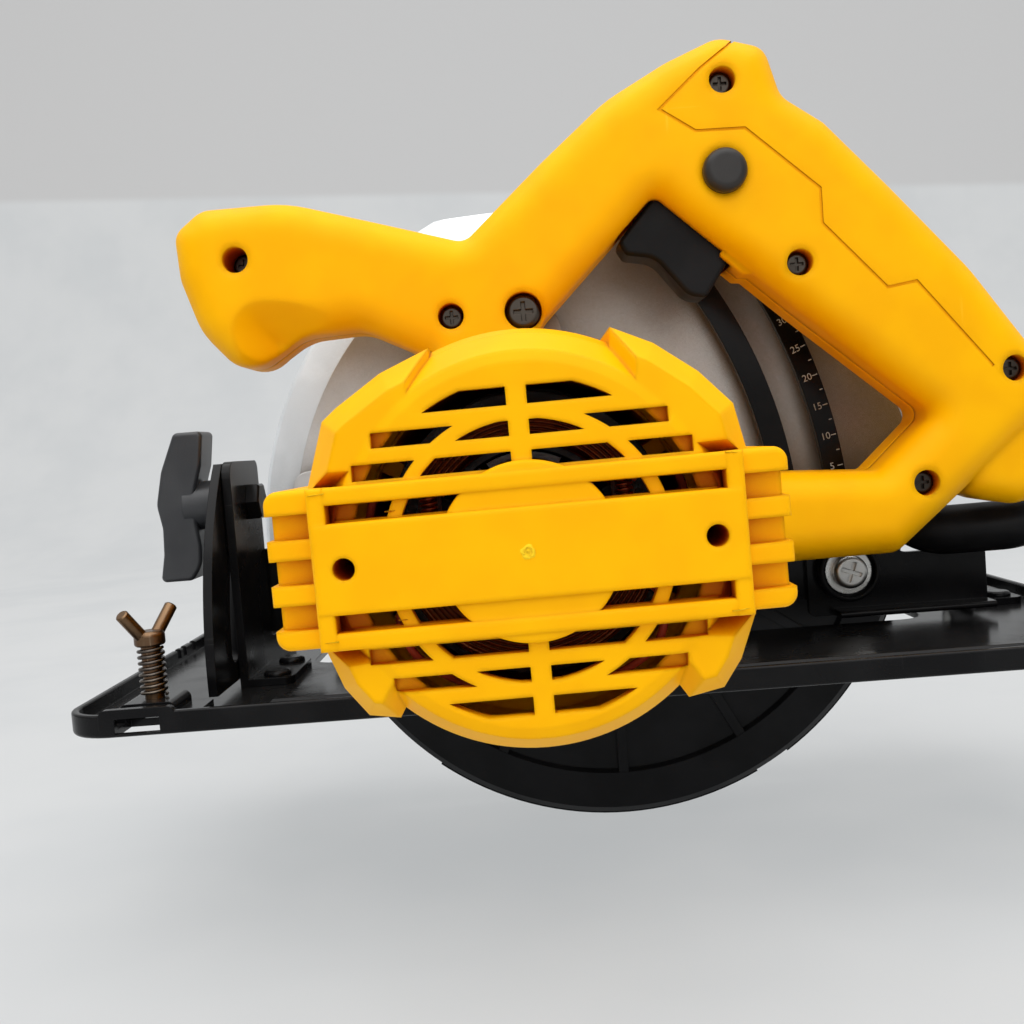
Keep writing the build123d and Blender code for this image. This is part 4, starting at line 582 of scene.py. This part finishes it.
# finishes of single pieces that differ a little from the rest of their slot
variants = {
    "cap plastic": dict(finishes["yellow_plastic"], edge=0.0016, rub=0.1),
    "knob plastic": dict(
        finishes["black_plastic"],
        colour=(0.024, 0.025, 0.028, 1), tint=(0.036, 0.037, 0.040, 1), rough=(0.34, 0.46),
        rubColour=(0.12, 0.12, 0.125, 1), specular=0.45,
    ),
    "button plastic": dict(
        finishes["black_plastic"],
        colour=(0.017, 0.016, 0.015, 1), tint=(0.024, 0.022, 0.021, 1), specular=0.3,
    ),
    "copper spring": dict(
        finishes["zinc_steel"],
        colour=(0.62, 0.16, 0.07, 1), tint=(0.45, 0.10, 0.04, 1),
    ),
    "scale paint": dict(
        finishes["black_plastic"],
        colour=(0.55, 0.54, 0.50, 1), tint=(0.36, 0.35, 0.33, 1), rubColour=(0.2, 0.2, 0.2, 1),
        scuffColour=(0.05, 0.05, 0.05, 1), dust=0.0,
    ),
    "lead jacket": dict(
        finishes["black_plastic"],
        colour=(0.30, 0.035, 0.015, 1), tint=(0.22, 0.03, 0.012, 1),
    ),
    "torn edge": dict(
        finishes["yellow_plastic"],
        colour=(0.95, 0.62, 0.02, 1), tint=(0.75, 0.48, 0.01, 1), rough=(0.7, 0.85),
    ),
}


def seamFinish(name, values):
    # plastic halves that meet on the plane Y = 0 and leave a fine line there
    material = plainFinish(name, values)
    tree = material.node_tree
    off = mathNode(tree, "ABSOLUTE", splitPlace(tree)["Y"])
    line = stepNode(tree, off, values["seamHalf"] * 0.4, values["seamHalf"], 1.0, 0.0)
    layColour(tree, mathNode(tree, "MULTIPLY", line, commonLook["seamShare"]), values["seamColour"])
    addRelief(tree, "SUBTRACT", mathNode(tree, "MULTIPLY", line, commonLook["seamRelief"]))
    return material


seamed = {
    "handle plastic": dict(finishes["yellow_plastic"], edge=0.0040, rub=0.0, seamHalf=0.00022,
                           seamColour=(0.22, 0.07, 0.0, 1)),
}

materials = {}
for make, table in ((plainFinish, finishes), (plainFinish, variants), (turnedFinish, turned),
                    (stackedFinish, stacked), (seamFinish, seamed)):
    materials.update({name: make(name, values) for name, values in table.items()})
print("finishes ready:", len(materials))

ownFinish = {"end_cap": "cap plastic", "bevel_knob": "knob plastic", "lock_button": "button plastic",
             "brush_springs": "copper spring", "handle_shell_near": "handle plastic",
             "handle_shell_far": "handle plastic"}


def dressNodes():
    for entry in frame["record"]["subparts"]:
        node = nodes[entry["node"]]
        for slot in node.material_slots:
            slot.material = materials[ownFinish.get(entry["node"], entry["material_slot"])]


dressNodes()
print("CAD pieces dressed")


def addPiece(name, mesh, finish, body):
    mesh.materials.append(materials[finish])
    piece = bpy.data.objects.new(name, mesh)
    bpy.context.scene.collection.objects.link(piece)
    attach(piece, body)


guideScale = {
    "centre": (-0.095, 0.030),     # the depth hinge, in X and Z
    "face": 0.026,                 # the guide's side toward the motor, in Y
    "numberRadius": 0.1680,
    "numberSize": 0.0031,
    "firstAngle": 4.0,
    "step": 3.3,
    "numbers": [5 * i for i in range(13)],
    "tickInner": 0.1697,
    "tickOuter": 0.1713,
    "halfTickShorter": 0.0006,
    "tickWidth": 0.0003,
    "paint": 0.00004,
}

boxFaces = ((0, 1, 2, 3), (7, 6, 5, 4), (0, 4, 5, 1), (1, 5, 6, 2), (2, 6, 7, 3), (3, 7, 4, 0))


def flatNumber(number, values):
    # the mesh of a painted number, lying flat about its own middle
    words = bpy.data.curves.new("depth number", "FONT")
    words.body = str(number)
    words.size = values["numberSize"]
    words.align_x = "CENTER"
    words.align_y = "CENTER"
    words.extrude = values["paint"]
    words.resolution_u = 3
    writer = bpy.data.objects.new("depth number", words)
    bpy.context.scene.collection.objects.link(writer)
    bpy.context.view_layer.update()
    flat = bpy.data.meshes.new_from_object(writer.evaluated_get(bpy.context.evaluated_depsgraph_get()))
    bpy.data.objects.remove(writer)
    return flat


def spokes(angle):
    return Vector((cos(angle), 0, sin(angle))), Vector((-sin(angle), 0, cos(angle)))


def addGuideScale(values):
    # painted depth numbers and ticks along the guide's outer band
    centre = Vector((values["centre"][0], values["face"], values["centre"][1]))
    step, outer, paint = radians(values["step"]), values["tickOuter"], values["paint"]
    points, faces = [], []
    for i, number in enumerate(values["numbers"]):
        angle = radians(values["firstAngle"]) + step * i
        flat = flatNumber(number, values)
        out, up = spokes(angle)
        middle = centre + out * values["numberRadius"]
        first = len(points)
        points += [middle + out * v.co.x + up * v.co.y - Vector((0, v.co.z, 0)) for v in flat.vertices]
        faces += [[first + k for k in face.vertices] for face in flat.polygons]
        for turn, inner in ((angle, values["tickInner"]),
                            (angle + step / 2, values["tickInner"] + values["halfTickShorter"])):
            out, up = spokes(turn)
            side = up * values["tickWidth"] / 2
            first = len(points)
            for depth in (-paint, paint):
                start = centre + Vector((0, depth, 0))
                points += [start + out * inner - side, start + out * outer - side,
                           start + out * outer + side, start + out * inner + side]
            faces += [[first + k for k in face] for face in boxFaces]
    addPiece("depth_scale", meshFrom("depth scale", points, faces), "scale paint", "tilt_frame")


addGuideScale(guideScale)


gateMark = {
    "place": (-0.0254, 0.0442),    # in X and Z
    "radius": 0.0015,
    "height": 0.00035,
    "rings": ((1.0, 0.0), (0.86, 0.9), (0.62, 1.0), (0.5, 0.2), (0.25, 0.35), (0.12, 1.0)),
    "steps": 18,
    "rough": 0.35,
    "sunk": 0.00002,
    "seed": 4,
}


def ringFaces(first, rings, steps):
    # the faces between rings of points that follow each other
    faces = []
    for ring in range(rings - 1):
        for i in range(steps):
            a, b = first + ring * steps + i, first + ring * steps + (i + 1) % steps
            faces.append((a, b, b + steps, a + steps))
    return faces


def capFront(x, z):
    # where the cap's outer side lies at this X and Z
    cap = nodes["end_cap"]
    back = cap.matrix_world.inverted()
    start = back @ Vector((x, 2 * cadBox[0][1], z))
    ahead = (back @ Vector((x, 0, z)) - start).normalized()
    return (cap.matrix_world @ cap.ray_cast(start, ahead)[1]).y


def addGateMark(values):
    # the torn stub that the mould's gate leaves in the middle of the strap
    spread = random.Random(values["seed"])
    x, z = values["place"]
    y = capFront(x, z) + values["sunk"]
    steps, rings = values["steps"], values["rings"]
    points = []
    for share, lift in rings:
        for i in range(steps):
            angle = 2 * pi * i / steps
            reach = values["radius"] * share * (1 + values["rough"] * (spread.random() - 0.5))
            rise = values["height"] * lift * (0.6 + 0.8 * spread.random())
            points.append((x + reach * cos(angle), y - rise, z + reach * sin(angle)))
    faces = ringFaces(0, len(rings), steps)
    faces.append(tuple(range((len(rings) - 1) * steps, len(rings) * steps)))
    addPiece("gate_mark", meshFrom("gate mark", points, faces), "torn edge", "saw_body")


addGateMark(gateMark)

mouldFlash = {
    # X, Z, length and lean in degrees of each sliver
    "places": [(-0.0670, 0.0588, 0.0034, 4.0), (0.0164, 0.0609, 0.0026, -6.0),
               (0.0163, 0.0293, 0.0036, 8.0), (-0.0662, 0.0289, 0.0028, 2.0),
               (-0.0527, 0.0543, 0.0022, 3.0), (-0.0518, 0.0320, 0.0020, 0.0)],
    "height": 0.0005,
    "thick": 0.00012,
    "sunk": 0.0001,
    "steps": 9,
    "seed": 11,
}


def addMouldFlash(values):
    # thin ragged slivers at the strap's ends, where the mould closed
    spread = random.Random(values["seed"])
    steps, thick, sunk = values["steps"], values["thick"], values["sunk"]
    points, faces = [], []
    for x, z, length, lean in values["places"]:
        first = len(points)
        y = capFront(x, z)
        lean = radians(lean)
        for i in range(steps):
            along = length * (i / (steps - 1) - 0.5)
            tall = values["height"] * (0.25 + spread.random()) * sin(pi * (i + 0.6) / (steps + 0.2))
            rise = along * sin(lean) + thick * (spread.random() - 0.5)
            for up, out in ((-thick, sunk), (-thick * 0.3, -tall), (thick, sunk)):
                points.append((x + along * cos(lean), y + out, z + rise + up))
        for i in range(steps - 1):
            a = first + 3 * i
            faces += [(a, a + 3, a + 4, a + 1), (a + 1, a + 4, a + 5, a + 2), (a + 2, a + 5, a + 3, a)]
        last = first + 3 * (steps - 1)
        faces += [(first, first + 1, first + 2), (last + 2, last + 1, last)]
    addPiece("mould_flash", meshFrom("mould flash", points, faces), "torn edge", "saw_body")


addMouldFlash(mouldFlash)

brushLeads = {
    "centre": (-0.025, 0.044),     # the motor's axis, in X and Z; the routes are about it
    "radius": 0.0009,
    "sides": 8,
    "stepsPerPoint": 6,
    "routes": [
        [(0.022, -0.0945, 0.0128), (0.026, -0.0950, 0.0165), (0.031, -0.0930, 0.0150),
         (0.034, -0.0880, 0.0060), (0.033, -0.0800, -0.0040)],
        [(-0.022, -0.0945, 0.0128), (-0.027, -0.0950, 0.0160), (-0.032, -0.0930, 0.0120),
         (-0.034, -0.0880, 0.0020), (-0.032, -0.0790, -0.0080)],
        [(0.022, -0.0940, -0.0070), (0.027, -0.0950, -0.0130), (0.024, -0.0940, -0.0230),
         (0.012, -0.0900, -0.0300), (0.002, -0.0800, -0.0320)],
        [(-0.022, -0.0940, -0.0070), (-0.028, -0.0950, -0.0120), (-0.025, -0.0945, -0.0210),
         (-0.014, -0.0900, -0.0290), (-0.006, -0.0800, -0.0320)],
    ],
}


def smoothRoute(route, steps):
    # points along a curve that passes through the given ones
    ends = [route[0]] + route + [route[-1]]
    path = []
    for i in range(1, len(ends) - 2):
        a, b, c, d = (Vector(ends[i + k]) for k in (-1, 0, 1, 2))
        for k in range(steps):
            t = k / steps
            path.append(0.5 * (2 * b + (c - a) * t + (2 * a - 5 * b + 4 * c - d) * t * t
                               + (3 * b - a - 3 * c + d) * t ** 3))
    path.append(Vector(route[-1]))
    return path


def tubeMesh(name, paths, radius, sides):
    points, faces = [], []
    for path in paths:
        first = len(points)
        side = (path[1] - path[0]).cross(Vector((0.3, 0.2, 1.0))).normalized()
        for i, place in enumerate(path):
            ahead = (path[min(i + 1, len(path) - 1)] - path[max(i - 1, 0)]).normalized()
            side = (side - ahead * side.dot(ahead)).normalized()
            other = ahead.cross(side)
            for k in range(sides):
                turn = 2 * pi * k / sides
                points.append(place + radius * (cos(turn) * side + sin(turn) * other))
        faces += ringFaces(first, len(path), sides)
        faces.append(tuple(range(first + sides - 1, first - 1, -1)))
        faces.append(tuple(range(len(points) - sides, len(points))))
    return meshFrom(name, points, faces, smooth=True)


def addBrushLeads(values):
    # jacketed leads between the brush holders and the field coils, seen through the louvres
    x0, z0 = values["centre"]
    paths = [smoothRoute([(x0 + x, y, z0 + z) for x, y, z in route], values["stepsPerPoint"])
             for route in values["routes"]]
    addPiece("brush_leads", tubeMesh("brush leads", paths, values["radius"], values["sides"]),
             "lead jacket", "saw_body")


addBrushLeads(brushLeads)
print("small pieces added")
